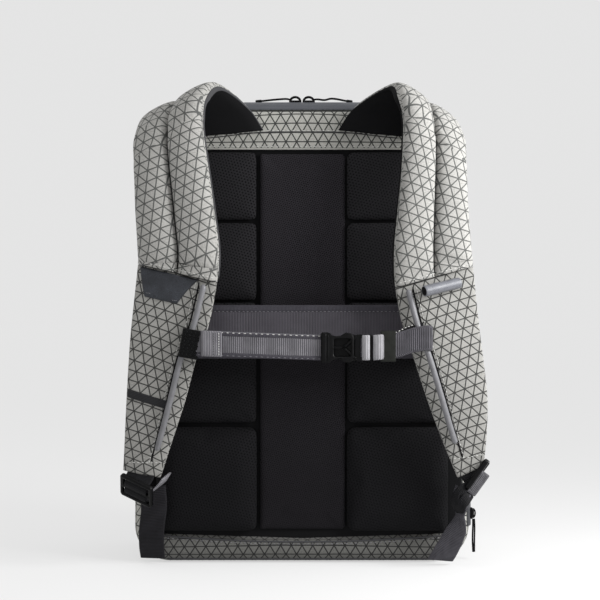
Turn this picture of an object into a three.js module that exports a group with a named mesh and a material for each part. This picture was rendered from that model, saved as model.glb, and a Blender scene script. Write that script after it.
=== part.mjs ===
// A laptop backpack that stands on its flat bottom, in millimetres, +Z up.
// The harness side faces -Y. Places are measured from the middle of the back panel's seam plane.

import * as THREE from 'three';

// Main bag
const BODY_HEIGHT = 440;
const BODY_WIDTH = 322;
const BODY_TOP_WIDTH = 300;
const BODY_DEPTH = 160;
const BODY_WALL = 4;
const TOP_CORNER = 62;
const BOTTOM_CORNER = 34;
const SEAM_ROUND = 7;
const FRONT_CROWN = 8;
const SIDE_BULGE = 3;

// Clearance between pieces that touch
const GAP = 0.3;

// Back panel
const BOARD_THICKNESS = 4;
const BOARD_INSET = 8;
const STRIP_THICKNESS = 3.5;
const TOP_STRIP_HEIGHT = 38;
const BOTTOM_STRIP_HEIGHT = 24;
const CHANNEL_WIDTH = 84;
const CHANNEL_THICKNESS = 5;
const PAD_WIDTH = 95;
const PAD_CORNER = 12;
const PAD_THICKNESS = 13;
const PAD_SEAM = 3;

// Zips
const TAPE_WIDTH = 22;
const TAPE_THICKNESS = 1.2;
const TAPE_SETBACK = 3;
const SLIDER_LENGTH = 11;
const SLIDER_WIDTH = 8;
const SLIDER_HEIGHT = 5;
const SLIDER_SPACING = 13;
const PULL_CORD = 2;
const PULL_LENGTH = 34;
const SIDE_PULL_LENGTH = 32;

// Shoulder straps
const STRAP_REACH = 70;
const STRAP_EDGE = 5;
const STRAP_CROWN = 7;
const LOWER_EDGE = 4.4;
const LOWER_CROWN = 3.6;
const LINING_THICKNESS = 1.6;

// Trim on the lower straps
const RAIL_DIAMETER = 5.4;
const RAIL_LIFT = 2.6;
const LEATHER_THICKNESS = 1.6;
const ROLL_DIAMETER = 10;
const ROLL_WALL = 1.6;
const ROLL_LENGTH = 38;
const ELASTIC_HEIGHT = 7;

// Webbing and buckles
const WEB_THICKNESS = 1.7;
const CHEST_WEB = 23;
const LOWER_WEB = 24;
const LUGGAGE_BAND_HEIGHT = 50;
const LUGGAGE_BAND_TOP = 246;
const LUGGAGE_BAND_REACH = 38;
const BAND_LANDING = 8;
const CHEST_HEIGHT = 207;
const CHEST_SAG = 4;
const BUCKLE_WIDTH = 30;
const BUCKLE_HEIGHT = 28;
const BUCKLE_THICKNESS = 9;
const CLIP_LENGTH = 27;
const CLIP_WIDTH = 15;
const CLIP_THICKNESS = 11;
const LOCK_WIDTH = 33;
const LOCK_HEIGHT = 22;
const LOCK_THICKNESS = 4;
const LOCK_BAR = 3.2;

const HALF_WIDTH = BODY_WIDTH / 2;
const BOARD_FRONT = -GAP - BOARD_THICKNESS;

// Colours read from the photograph, as sRGB
const FABRIC = { color: 0xa8a7a2, roughness: 0.85, metalness: 0 };
const MESH = { color: 0x1f1e20, roughness: 0.95, metalness: 0 };
const LINING = { color: 0x222124, roughness: 0.9, metalness: 0 };
const WEBBING = { color: 0x45434a, roughness: 0.75, metalness: 0 };
const PALE_WEBBING = { color: 0x77767a, roughness: 0.75, metalness: 0 };
const PLASTIC = { color: 0x151516, roughness: 0.45, metalness: 0 };
const LEATHER = { color: 0x3c4048, roughness: 0.5, metalness: 0 };
const CORD = { color: 0x85868a, roughness: 0.5, metalness: 0 };
const ZIP = { color: 0x3a3f4b, roughness: 0.6, metalness: 0 };

const pack = new THREE.Group();

function addPiece(name, geometry, look) {
  const mesh = new THREE.Mesh(geometry, new THREE.MeshStandardMaterial(look));
  mesh.name = name;
  pack.add(mesh);
  return mesh;
}

// Six times the volume that the triangles enclose, below zero where they face inwards
function signedVolume(positions, index) {
  const a = new THREE.Vector3();
  const b = new THREE.Vector3();
  const c = new THREE.Vector3();
  let total = 0;
  for (let i = 0; i < index.length; i += 3) {
    a.fromArray(positions, index[i] * 3);
    b.fromArray(positions, index[i + 1] * 3);
    c.fromArray(positions, index[i + 2] * 3);
    total += a.dot(b.cross(c));
  }
  return total;
}

function closedGeometry(points, index) {
  const positions = points.flatMap((p) => [p.x, p.y, p.z]);
  if (signedVolume(positions, index) < 0) {
    index.reverse();
  }
  const geometry = new THREE.BufferGeometry();
  geometry.setAttribute('position', new THREE.Float32BufferAttribute(positions, 3));
  geometry.setIndex(index);
  geometry.computeVertexNormals();
  return geometry;
}

// A solid skinned over loops of equal length, with a fan over the first and the last loop
function loftSolid(loops) {
  const count = loops[0].length;
  const points = loops.flat();
  const index = [];
  for (let row = 0; row + 1 < loops.length; row += 1) {
    for (let i = 0; i < count; i += 1) {
      const a = row * count + i;
      const b = row * count + ((i + 1) % count);
      index.push(a, b, b + count, a, b + count, a + count);
    }
  }
  addFan(points, index, 0, count, true);
  addFan(points, index, (loops.length - 1) * count, count, false);
  return closedGeometry(points, index);
}

function addFan(points, index, start, count, flipped) {
  const centre = new THREE.Vector3();
  for (let i = 0; i < count; i += 1) {
    centre.addScaledVector(points[start + i], 1 / count);
  }
  const hub = points.length;
  points.push(centre);
  for (let i = 0; i < count; i += 1) {
    const a = start + i;
    const b = start + ((i + 1) % count);
    if (flipped) {
      index.push(hub, b, a);
    } else {
      index.push(hub, a, b);
    }
  }
}

// A solid between two grids of points that have the same rows and columns
function slabSolid(front, back) {
  const rows = front.length;
  const columns = front[0].length;
  const points = [...front.flat(), ...back.flat()];
  const far = rows * columns;
  const index = [];
  const quad = (a, b, c, d) => index.push(a, b, c, a, c, d);
  for (let r = 0; r + 1 < rows; r += 1) {
    for (let c = 0; c + 1 < columns; c += 1) {
      const a = r * columns + c;
      const d = a + columns;
      quad(a, a + 1, d + 1, d);
      quad(far + a, far + d, far + d + 1, far + a + 1);
    }
    const left = r * columns;
    const right = left + columns - 1;
    quad(left, left + columns, far + left + columns, far + left);
    quad(right, far + right, far + right + columns, right + columns);
  }
  const last = (rows - 1) * columns;
  for (let c = 0; c + 1 < columns; c += 1) {
    quad(c, far + c, far + c + 1, c + 1);
    quad(last + c, last + c + 1, far + last + c + 1, far + last + c);
  }
  return closedGeometry(points, index);
}

// A flat strap of even thickness along a path, with its width along `across`
function ribbonSolid(path, across, width, thickness) {
  const front = [];
  const back = [];
  path.forEach((middle, i) => {
    const before = path[Math.max(i - 1, 0)];
    const after = path[Math.min(i + 1, path.length - 1)];
    const along = after.clone().sub(before).normalize();
    const side = (Array.isArray(across) ? across[i] : across).clone().normalize();
    const normal = along.clone().cross(side).normalize().multiplyScalar(thickness / 2);
    const edges = [-width / 2, width / 2].map((d) => middle.clone().addScaledVector(side, d));
    front.push(edges.map((p) => p.clone().add(normal)));
    back.push(edges.map((p) => p.clone().sub(normal)));
  });
  return slabSolid(front, back);
}

function point(x, y, z) {
  return new THREE.Vector3(x, y, z);
}

// A round bar along a smooth path, closed at both ends
function barSolid(path, diameter, steps, sides) {
  const circle = new THREE.Shape();
  for (let i = 0; i < sides; i += 1) {
    const turn = (i / sides) * Math.PI * 2;
    const x = Math.cos(turn) * diameter / 2;
    const y = Math.sin(turn) * diameter / 2;
    if (i === 0) {
      circle.moveTo(x, y);
    } else {
      circle.lineTo(x, y);
    }
  }
  circle.closePath();
  const curve = new THREE.CatmullRomCurve3(path);
  return new THREE.ExtrudeGeometry(circle, { extrudePath: curve, steps, curveSegments: 1 });
}

function roundedRectangle(width, height, radius) {
  const x = width / 2;
  const y = height / 2;
  const shape = new THREE.Shape();
  shape.moveTo(-x + radius, -y);
  shape.lineTo(x - radius, -y);
  shape.absarc(x - radius, -y + radius, radius, -Math.PI / 2, 0);
  shape.lineTo(x, y - radius);
  shape.absarc(x - radius, y - radius, radius, 0, Math.PI / 2);
  shape.lineTo(-x + radius, y);
  shape.absarc(-x + radius, y - radius, radius, Math.PI / 2, Math.PI);
  shape.lineTo(-x, -y + radius);
  shape.absarc(-x + radius, -y + radius, radius, Math.PI, Math.PI * 1.5);
  shape.closePath();
  return shape;
}

function cutSlot(shape, x, y, width, height) {
  const slot = new THREE.Path();
  slot.moveTo(x - width / 2, y - height / 2);
  slot.lineTo(x - width / 2, y + height / 2);
  slot.lineTo(x + width / 2, y + height / 2);
  slot.lineTo(x + width / 2, y - height / 2);
  slot.closePath();
  shape.holes.push(slot);
}

// A plate cut from a flat shape, centred on its own thickness
function plateSolid(shape, thickness, curveSegments = 3) {
  const geometry = new THREE.ExtrudeGeometry(shape, {
    depth: thickness,
    bevelEnabled: false,
    curveSegments,
  });
  geometry.translate(0, 0, -thickness / 2);
  return geometry;
}

const CORNER_STEPS = 5;
// Heights of the points on each side, between the bottom corner and the top one
const SIDE_SHARES = [0.2, 0.4, 0.6, 0.8];

// Points round the bag's outline, drawn in by `inset`, counted from the middle of the bottom
function bodyOutline(inset) {
  const bottomHalf = HALF_WIDTH - inset;
  const topHalf = BODY_TOP_WIDTH / 2 - inset;
  const bottomRadius = Math.max(BOTTOM_CORNER - inset, 2);
  const topRadius = Math.max(TOP_CORNER - inset, 2);
  const right = [];
  right.push([0, inset]);
  right.push([(bottomHalf - bottomRadius) * 0.5, inset]);
  for (let i = 0; i <= CORNER_STEPS; i += 1) {
    const turn = -Math.PI / 2 + (i / CORNER_STEPS) * Math.PI / 2;
    right.push([bottomHalf - bottomRadius + Math.cos(turn) * bottomRadius,
      inset + bottomRadius + Math.sin(turn) * bottomRadius]);
  }
  const low = inset + bottomRadius;
  const high = BODY_HEIGHT - inset - topRadius;
  for (const share of SIDE_SHARES) {
    const half = bottomHalf + (topHalf - bottomHalf) * share;
    right.push([half + SIDE_BULGE * Math.sin(share * Math.PI), low + (high - low) * share]);
  }
  for (let i = 0; i <= CORNER_STEPS; i += 1) {
    const turn = (i / CORNER_STEPS) * Math.PI / 2;
    right.push([topHalf - topRadius + Math.cos(turn) * topRadius,
      BODY_HEIGHT - inset - topRadius + Math.sin(turn) * topRadius]);
  }
  right.push([(topHalf - topRadius) * 0.5, BODY_HEIGHT - inset]);
  const left = right.slice(1).reverse().map(([x, z]) => [-x, z]);
  return [...right, [0, BODY_HEIGHT - inset], ...left];
}

// Sections of the bag from its back seam to its front: depth and inset as shares
const BODY_SECTIONS = [
  { depth: 0.0, inset: 1.0 },
  { depth: 0.025, inset: 0.4 },
  { depth: 0.065, inset: 0.0 },
  { depth: 0.3, inset: 0.0 },
  { depth: 0.74, inset: 0.0 },
  { depth: 0.87, inset: 0.5 },
  { depth: 0.93, inset: 1.6 },
  { depth: 0.95, inset: 3.2 },
];
// Rings that close the front panel: how far in they lie, and how much of the crown they have
const FRONT_RINGS = [
  { inward: 0.3, crown: 0.55 },
  { inward: 0.62, crown: 0.9 },
];

function bodyLoops(offset) {
  const loops = BODY_SECTIONS.map(({ depth, inset }) => {
    const outline = bodyOutline(inset * SEAM_ROUND + offset);
    const y = depth * BODY_DEPTH - offset * THREE.MathUtils.smoothstep(depth, 0.5, 0.9);
    return outline.map(([x, z]) => point(x, y, z));
  });
  const rim = loops[loops.length - 1];
  const middle = point(0, 0, BODY_HEIGHT / 2);
  for (const { inward, crown } of FRONT_RINGS) {
    loops.push(rim.map((p) => point(
      p.x * (1 - inward),
      p.y + FRONT_CROWN * crown,
      p.z + (middle.z - p.z) * inward,
    )));
  }
  return loops;
}

// The hollow bag: the inner skin from the front to the rim, then the outer skin back again
function buildBodyShell() {
  const inner = bodyLoops(BODY_WALL).reverse();
  const outer = bodyLoops(0);
  addPiece('body_shell', loftSolid([...inner, ...outer]), FABRIC);
}

function buildBackPanel() {
  const outline = bodyOutline(BOARD_INSET);
  const loops = [-GAP, BOARD_FRONT].map((y) => outline.map(([x, z]) => point(x, y, z)));
  addPiece('back_panel', loftSolid(loops), LINING);
}

// A pad with a flat back and a crowned front, over the outline of a rounded rectangle
function padSolid({ left, right, low, high, corner, seat, thickness }) {
  const steps = 4;
  const ring = (inset, y) => {
    const radius = Math.max(corner - inset, 1);
    const centres = [
      [right - inset - radius, low + inset + radius, -Math.PI / 2],
      [right - inset - radius, high - inset - radius, 0],
      [left + inset + radius, high - inset - radius, Math.PI / 2],
      [left + inset + radius, low + inset + radius, Math.PI],
    ];
    return centres.flatMap(([x, z, start]) => Array.from({ length: steps + 1 }, (_, i) => {
      const turn = start + (i / steps) * Math.PI / 2;
      return point(x + Math.cos(turn) * radius, y, z + Math.sin(turn) * radius);
    }));
  };
  return loftSolid([
    ring(0, seat),
    ring(0, seat - thickness * 0.35),
    ring(corner * 0.3, seat - thickness * 0.8),
    ring(corner * 0.9, seat - thickness),
  ]);
}

const PAD_SEAT = BOARD_FRONT - GAP;
const PAD_HIGH = BODY_HEIGHT - SEAM_ROUND - TOP_STRIP_HEIGHT - 2;
const PAD_LOW = BOTTOM_STRIP_HEIGHT + 6;

// Pads of one side, from the top: shares of the height from PAD_HIGH down, and of PAD_THICKNESS
const PAD_ROWS = [
  { name: 'upper', from: 0.0, to: 0.185, thickness: 0.62 },
  { name: 'middle', from: 0.185, to: 0.395, thickness: 0.77 },
  { name: 'lumbar', from: 0.395, to: 0.72, thickness: 0.7 },
  { name: 'lower', from: 0.72, to: 1.0, thickness: 1.0 },
];

function buildPads() {
  const span = PAD_HIGH - PAD_LOW;
  for (const side of [-1, 1]) {
    const near = side * (CHANNEL_WIDTH / 2 + PAD_SEAM / 2);
    const far = side * (CHANNEL_WIDTH / 2 + PAD_SEAM / 2 + PAD_WIDTH);
    for (const { name, from, to, thickness } of PAD_ROWS) {
      const geometry = padSolid({
        left: Math.min(near, far),
        right: Math.max(near, far),
        low: PAD_HIGH - to * span + PAD_SEAM / 2,
        high: PAD_HIGH - from * span - PAD_SEAM / 2,
        corner: PAD_CORNER,
        seat: PAD_SEAT,
        thickness: thickness * PAD_THICKNESS,
      });
      addPiece(`pad_${name}_${side < 0 ? 'left' : 'right'}`, geometry, MESH);
    }
  }
  addPiece('channel_pad', padSolid({
    left: -CHANNEL_WIDTH / 2,
    right: CHANNEL_WIDTH / 2,
    low: PAD_LOW + PAD_SEAM / 2,
    high: PAD_HIGH - PAD_SEAM / 2,
    corner: PAD_SEAM * 1.5,
    seat: PAD_SEAT,
    thickness: CHANNEL_THICKNESS,
  }), MESH);
}

// A fabric strip across the board: half widths at its head and foot, and its two heights
function stripSolid(low, high, lowHalf, highHalf) {
  const columns = [-1, -0.6, -0.2, 0.2, 0.6, 1];
  const grid = (depthAt) => [0, 0.5, 1].map((share) => columns.map((c) => point(
    c * (lowHalf + (highHalf - lowHalf) * share),
    depthAt(c, share),
    low + (high - low) * share,
  )));
  const crown = (c, share) => PAD_SEAT - STRIP_THICKNESS * (0.55 + 0.45 * (1 - c * c) * (share === 0.5 ? 1 : 0.6));
  return slabSolid(grid(() => PAD_SEAT), grid(crown));
}

const TOP_STRIP_LOW = PAD_HIGH + PAD_SEAM / 2;

function buildStrips() {
  const topHigh = TOP_STRIP_LOW + TOP_STRIP_HEIGHT - PAD_SEAM / 2;
  const inner = BOARD_INSET + 2;
  const topHalf = BODY_TOP_WIDTH / 2 - inner;
  const bottomHalf = HALF_WIDTH - inner;
  const topCut = TOP_CORNER * 0.62;
  addPiece('top_strip', stripSolid(TOP_STRIP_LOW, topHigh, topHalf - topCut * 0.3, topHalf - topCut),
    FABRIC);
  addPiece('bottom_strip', stripSolid(inner, PAD_LOW - PAD_SEAM / 2, bottomHalf - BOTTOM_CORNER * 0.55,
    bottomHalf - BOTTOM_CORNER * 0.05), FABRIC);
}

// Where the outline leaves the right bottom corner
const SIDE_STEPS = CORNER_STEPS + 2;

// The outline's points from the right side over the top to the left side, and up the right side
function topRun(outline) {
  const first = SIDE_STEPS + SIDE_SHARES.length - 1;
  return outline.slice(first, outline.length - first + 1);
}

function sideRun(outline) {
  return outline.slice(SIDE_STEPS, SIDE_STEPS + SIDE_SHARES.length - 1);
}

// Where the zip tape lies behind the seam: the shell's own sections, then its far edge
const TAPE_SECTIONS = [
  { y: BODY_SECTIONS[1].depth * BODY_DEPTH, inset: BODY_SECTIONS[1].inset * SEAM_ROUND },
  { y: BODY_SECTIONS[2].depth * BODY_DEPTH, inset: BODY_SECTIONS[2].inset * SEAM_ROUND },
  { y: TAPE_SETBACK + TAPE_WIDTH, inset: 0 },
];

function tapeSolid(run) {
  const grid = (lift) => TAPE_SECTIONS.map(({ y, inset }) => (
    run(bodyOutline(inset - lift)).map(([x, z]) => point(x, y, z))));
  return slabSolid(grid(GAP + TAPE_THICKNESS), grid(GAP));
}

function pullSolid(length) {
  const loop = roundedRectangle(length, PULL_CORD * 3, PULL_CORD * 1.4);
  cutSlot(loop, 0, 0, length - PULL_CORD * 3, PULL_CORD);
  return plateSolid(loop, PULL_CORD, 2);
}

function buildZips() {
  addPiece('zip_tape_top', tapeSolid(topRun), ZIP);
  const seat = BODY_HEIGHT + 2 * GAP + TAPE_THICKNESS;
  const y = TAPE_SETBACK + TAPE_WIDTH - SLIDER_WIDTH / 2 - 1;
  for (const side of [-1, 1]) {
    const label = side < 0 ? 'left' : 'right';
    const shape = roundedRectangle(SLIDER_LENGTH, SLIDER_WIDTH, 2);
    const slider = addPiece(`zip_slider_${label}`, plateSolid(shape, SLIDER_HEIGHT), PLASTIC);
    slider.position.set(side * SLIDER_SPACING / 2, y, seat + SLIDER_HEIGHT / 2);
    const pull = addPiece(`zip_pull_${label}`, pullSolid(PULL_LENGTH), PLASTIC);
    const reach = SLIDER_SPACING / 2 + SLIDER_LENGTH / 2 + GAP + PULL_LENGTH / 2;
    pull.position.set(side * reach, y, seat + PULL_CORD / 2);
  }
}

function buildSideZip() {
  addPiece('side_zip_tape', tapeSolid(sideRun), ZIP);
  const [[footX, low], [headX, high]] = sideRun(bodyOutline(-2 * GAP - TAPE_THICKNESS));
  const slope = (headX - footX) / (high - low);
  const x = footX + Math.max(slope, 0) * SLIDER_LENGTH * 2;
  const y = BODY_SECTIONS[2].depth * BODY_DEPTH + SLIDER_WIDTH / 2 + 1;
  const shape = roundedRectangle(SLIDER_LENGTH, SLIDER_WIDTH, 2);
  const slider = addPiece('side_zip_slider', plateSolid(shape, SLIDER_HEIGHT), PLASTIC);
  slider.rotation.set(0, Math.PI / 2, 0);
  slider.position.set(x + SLIDER_HEIGHT / 2, y, low + SLIDER_LENGTH);
  const pull = addPiece('side_zip_pull', pullSolid(SIDE_PULL_LENGTH), PLASTIC);
  pull.rotation.set(0, Math.PI / 2, 0);
  const drop = low + SLIDER_LENGTH / 2 - GAP - SIDE_PULL_LENGTH / 2;
  pull.position.set(x + PULL_CORD, y, drop);
}

// Rows across each shoulder strap, from its root in the back panel over its crest to its end.
// x is a share of HALF_WIDTH, z of BODY_HEIGHT, reach of STRAP_REACH, for the inner and outer edge.
// crown is a share of the padding's height, and crease says how deep the middle fold is.
const LEFT_STRAP = [
  { xIn: 0.238, zIn: 0.939, xOut: 0.774, zOut: 0.920, reachIn: 0.153, reachOut: 0.153, crown: 0.0, crease: 0.0 },
  { xIn: 0.335, zIn: 0.989, xOut: 0.839, zOut: 0.942, reachIn: 0.24, reachOut: 0.22, crown: 0.3, crease: 0.0 },
  { xIn: 0.483, zIn: 1.024, xOut: 0.925, zOut: 0.945, reachIn: 0.52, reachOut: 0.45, crown: 0.6, crease: 0.4 },
  { xIn: 0.555, zIn: 0.993, xOut: 0.956, zOut: 0.892, reachIn: 0.82, reachOut: 0.70, crown: 0.9, crease: 0.8 },
  { xIn: 0.570, zIn: 0.949, xOut: 0.956, zOut: 0.849, reachIn: 0.91, reachOut: 0.79, crown: 1.0, crease: 1.0 },
  { xIn: 0.563, zIn: 0.909, xOut: 0.953, zOut: 0.810, reachIn: 0.95, reachOut: 0.83, crown: 1.0, crease: 1.0 },
  { xIn: 0.528, zIn: 0.820, xOut: 0.948, zOut: 0.762, reachIn: 0.98, reachOut: 0.86, crown: 1.0, crease: 1.0 },
  { xIn: 0.500, zIn: 0.746, xOut: 0.938, zOut: 0.705, reachIn: 1.00, reachOut: 0.88, crown: 1.0, crease: 1.0 },
  { xIn: 0.477, zIn: 0.673, xOut: 0.932, zOut: 0.664, reachIn: 1.00, reachOut: 0.88, crown: 0.9, crease: 0.9 },
  { xIn: 0.488, zIn: 0.607, xOut: 0.932, zOut: 0.645, reachIn: 0.98, reachOut: 0.87, crown: 0.6, crease: 0.4 },
  { xIn: 0.535, zIn: 0.517, xOut: 0.973, zOut: 0.507, reachIn: 0.95, reachOut: 0.86, crown: 1.0, crease: 0.0 },
  { xIn: 0.605, zIn: 0.448, xOut: 0.988, zOut: 0.440, reachIn: 0.90, reachOut: 0.83, crown: 1.0, crease: 0.0 },
  { xIn: 0.671, zIn: 0.360, xOut: 1.003, zOut: 0.360, reachIn: 0.82, reachOut: 0.78, crown: 1.0, crease: 0.0 },
  { xIn: 0.748, zIn: 0.275, xOut: 1.019, zOut: 0.262, reachIn: 0.73, reachOut: 0.70, crown: 0.9, crease: 0.0 },
  { xIn: 0.820, zIn: 0.196, xOut: 1.029, zOut: 0.211, reachIn: 0.64, reachOut: 0.62, crown: 0.5, crease: 0.0 },
];
const RIGHT_STRAP = [
  { xIn: 0.226, zIn: 0.939, xOut: 0.762, zOut: 0.920, reachIn: 0.153, reachOut: 0.153, crown: 0.0, crease: 0.0 },
  { xIn: 0.330, zIn: 0.989, xOut: 0.832, zOut: 0.945, reachIn: 0.24, reachOut: 0.22, crown: 0.3, crease: 0.0 },
  { xIn: 0.517, zIn: 1.024, xOut: 0.894, zOut: 0.937, reachIn: 0.52, reachOut: 0.45, crown: 0.6, crease: 0.4 },
  { xIn: 0.555, zIn: 0.993, xOut: 0.927, zOut: 0.892, reachIn: 0.82, reachOut: 0.70, crown: 0.9, crease: 0.8 },
  { xIn: 0.581, zIn: 0.949, xOut: 0.934, zOut: 0.849, reachIn: 0.91, reachOut: 0.79, crown: 1.0, crease: 1.0 },
  { xIn: 0.580, zIn: 0.902, xOut: 0.939, zOut: 0.810, reachIn: 0.95, reachOut: 0.83, crown: 1.0, crease: 1.0 },
  { xIn: 0.568, zIn: 0.829, xOut: 0.944, zOut: 0.762, reachIn: 0.98, reachOut: 0.86, crown: 1.0, crease: 1.0 },
  { xIn: 0.545, zIn: 0.745, xOut: 0.955, zOut: 0.705, reachIn: 1.00, reachOut: 0.88, crown: 1.0, crease: 1.0 },
  { xIn: 0.528, zIn: 0.673, xOut: 0.966, zOut: 0.661, reachIn: 1.00, reachOut: 0.88, crown: 0.9, crease: 0.9 },
  { xIn: 0.534, zIn: 0.596, xOut: 0.972, zOut: 0.640, reachIn: 0.98, reachOut: 0.87, crown: 0.6, crease: 0.4 },
  { xIn: 0.575, zIn: 0.517, xOut: 1.007, zOut: 0.517, reachIn: 0.95, reachOut: 0.86, crown: 1.0, crease: 0.0 },
  { xIn: 0.640, zIn: 0.448, xOut: 1.035, zOut: 0.440, reachIn: 0.90, reachOut: 0.83, crown: 1.0, crease: 0.0 },
  { xIn: 0.711, zIn: 0.370, xOut: 1.060, zOut: 0.360, reachIn: 0.82, reachOut: 0.78, crown: 1.0, crease: 0.0 },
  { xIn: 0.794, zIn: 0.289, xOut: 1.058, zOut: 0.281, reachIn: 0.73, reachOut: 0.70, crown: 0.9, crease: 0.0 },
  { xIn: 0.900, zIn: 0.196, xOut: 1.046, zOut: 0.222, reachIn: 0.64, reachOut: 0.62, crown: 0.5, crease: 0.0 },
];
// The row where the upper strap is sewn to the lower one
const JOIN_ROW = 9;

function makeStrap(rows, side) {
  const edge = (x, z, reach) => new THREE.CatmullRomCurve3(rows.map((row) => point(
    side * row[x] * HALF_WIDTH,
    -row[reach] * STRAP_REACH,
    row[z] * BODY_HEIGHT,
  )), false, 'catmullrom', 0.5);
  return {
    side,
    label: side < 0 ? 'left' : 'right',
    rows,
    inner: edge('xIn', 'zIn', 'reachIn'),
    outer: edge('xOut', 'zOut', 'reachOut'),
    last: rows.length - 1,
  };
}

// A column of the strap's table at a place between its rows
function tableValue(strap, key, row) {
  const low = Math.min(Math.floor(row), strap.last - 1);
  const share = row - low;
  return strap.rows[low][key] * (1 - share) + strap.rows[low + 1][key] * share;
}

// The strap's base line at a row: its two edges, the way it runs and the way its face looks
function strapFrame(strap, row) {
  const t = row / strap.last;
  const inner = strap.inner.getPoint(t);
  const outer = strap.outer.getPoint(t);
  const along = strap.inner.getTangent(t).add(strap.outer.getTangent(t)).normalize();
  const across = outer.clone().sub(inner).normalize();
  const face = along.clone().cross(across).multiplyScalar(strap.side).normalize();
  return { inner, outer, along, face };
}

// Height of the padding over the base line, with one lobe, or two beside a crease
function crownShare(strap, row, u) {
  const whole = Math.sqrt(Math.sin(Math.PI * u));
  const lobes = Math.sqrt(Math.abs(Math.sin(2 * Math.PI * u)));
  const crease = tableValue(strap, 'crease', row);
  const crown = tableValue(strap, 'crown', row);
  return crown * (whole * (1 - crease) + lobes * crease);
}

// A point of the strap between its edges, `height` above the base line
function strapPoint(strap, row, u, height) {
  const { inner, outer, face } = strapFrame(strap, row);
  return inner.lerp(outer, u).addScaledVector(face, height);
}

// A share may stop just short of an edge, where a rounded sine would give a number below zero
function frontHeight(strap, row, u, edge, crown) {
  return edge / 2 + crown * (u > 0 && u < 1 ? crownShare(strap, row, u) : 0);
}

function spread(from, to, steps) {
  return Array.from({ length: steps + 1 }, (_, i) => from + (to - from) * (i / steps));
}

const UPPER_COLUMNS = [0, 0.06, 0.25, 0.43, 0.5, 0.57, 0.75, 0.94, 1];
const RAIL_AT = 0.2;
const LOWER_COLUMNS = [0, 0.08, RAIL_AT, 0.5, 0.8, 0.92, 1];
const UPPER_STEPS = 16;
const LOWER_STEPS = 8;

function buildUpperStrap(strap) {
  const rows = spread(0, JOIN_ROW, UPPER_STEPS);
  const grid = (heightAt) => rows.map((row) => UPPER_COLUMNS.map((u) => (
    strapPoint(strap, row, u, heightAt(row, u)))));
  const front = grid((row, u) => frontHeight(strap, row, u, STRAP_EDGE, STRAP_CROWN));
  const back = grid(() => -STRAP_EDGE / 2);
  addPiece(`strap_upper_${strap.label}`, slabSolid(front, back), FABRIC);
  const liningTop = grid(() => -STRAP_EDGE / 2 - GAP);
  const liningUnder = grid(() => -STRAP_EDGE / 2 - GAP - LINING_THICKNESS);
  addPiece(`strap_lining_${strap.label}`, slabSolid(liningTop, liningUnder), LINING);
}

const JOIN_GAP = GAP + 0.1;

function lowerGrid(strap, heightAt) {
  return spread(JOIN_ROW, strap.last, LOWER_STEPS).map((row) => LOWER_COLUMNS.map((u) => {
    const place = strapPoint(strap, row, u, heightAt(row, u));
    return row === JOIN_ROW ? place.addScaledVector(strapFrame(strap, row).along, JOIN_GAP) : place;
  }));
}

function buildLowerStrap(strap) {
  const front = lowerGrid(strap, (row, u) => frontHeight(strap, row, u, LOWER_EDGE, LOWER_CROWN));
  const back = lowerGrid(strap, () => -LOWER_EDGE / 2);
  addPiece(`strap_lower_${strap.label}`, slabSolid(front, back), FABRIC);
}

// The cord on the lower strap: seated at both ends, lifted between them for what slides on it
const RAIL_FIRST_ROW = JOIN_ROW + 0.12;
const RAIL_LAST_ROW = 13.2;
const RAIL_STEPS = 12;

function railPoint(strap, share) {
  const row = RAIL_FIRST_ROW + (RAIL_LAST_ROW - RAIL_FIRST_ROW) * share;
  const seat = frontHeight(strap, row, RAIL_AT, LOWER_EDGE, LOWER_CROWN) + 2 * GAP;
  const lift = RAIL_LIFT * Math.sqrt(Math.sin(Math.PI * share));
  return strapPoint(strap, row, RAIL_AT, seat + lift + RAIL_DIAMETER / 2);
}

function railPath(strap) {
  return spread(0, 1, RAIL_STEPS).map((share) => (
    railPoint(strap, Math.min(Math.max(share, 0.001), 0.999))));
}

function buildRail(strap) {
  addPiece(`rail_${strap.label}`, barSolid(railPath(strap), RAIL_DIAMETER, RAIL_STEPS * 2, 10), CORD);
}

// Height of the lower strap's face between the columns and rows that its solid has
function lowerFaceHeight(strap, row, u) {
  const at = (column) => frontHeight(strap, row, column, LOWER_EDGE, LOWER_CROWN);
  const next = Math.max(LOWER_COLUMNS.findIndex((column) => column >= u), 1);
  const [from, to] = [LOWER_COLUMNS[next - 1], LOWER_COLUMNS[next]];
  return at(from) + (at(to) - at(from)) * ((u - from) / (to - from));
}

// A thin piece sewn on the lower strap: its corners are rows and shares across the strap
function sewnOnLower(strap, rowsOfPlaces, thickness) {
  const grid = (height) => rowsOfPlaces.map((places) => places.map(({ row, u }) => (
    strapPoint(strap, row, u, lowerFaceHeight(strap, row, u) + 2 * GAP + height))));
  return slabSolid(grid(thickness), grid(0));
}

// The leather patch that hangs from the left strap's seam, narrower at its foot
const PATCH = { top: 0.05, foot: 0.47, topIn: 0.29, topOut: 0.97, footIn: 0.46, footOut: 0.86 };

function buildLeatherPatch(strap) {
  const rows = [0, 0.5, 1].map((down) => [0, 0.3, 0.65, 1].map((over) => {
    const inner = PATCH.topIn + (PATCH.footIn - PATCH.topIn) * down;
    const outer = PATCH.topOut + (PATCH.footOut - PATCH.topOut) * down;
    const row = JOIN_ROW + PATCH.top + (PATCH.foot - PATCH.top) * down;
    return { row, u: inner + (outer - inner) * over };
  }));
  addPiece('leather_patch', sewnOnLower(strap, rows, LEATHER_THICKNESS), LEATHER);
}

// The rolled leather tube across the right strap, open at both ends
const ROLL_PLACE = { row: 0.26, from: 0.3, to: 0.8 };

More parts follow.
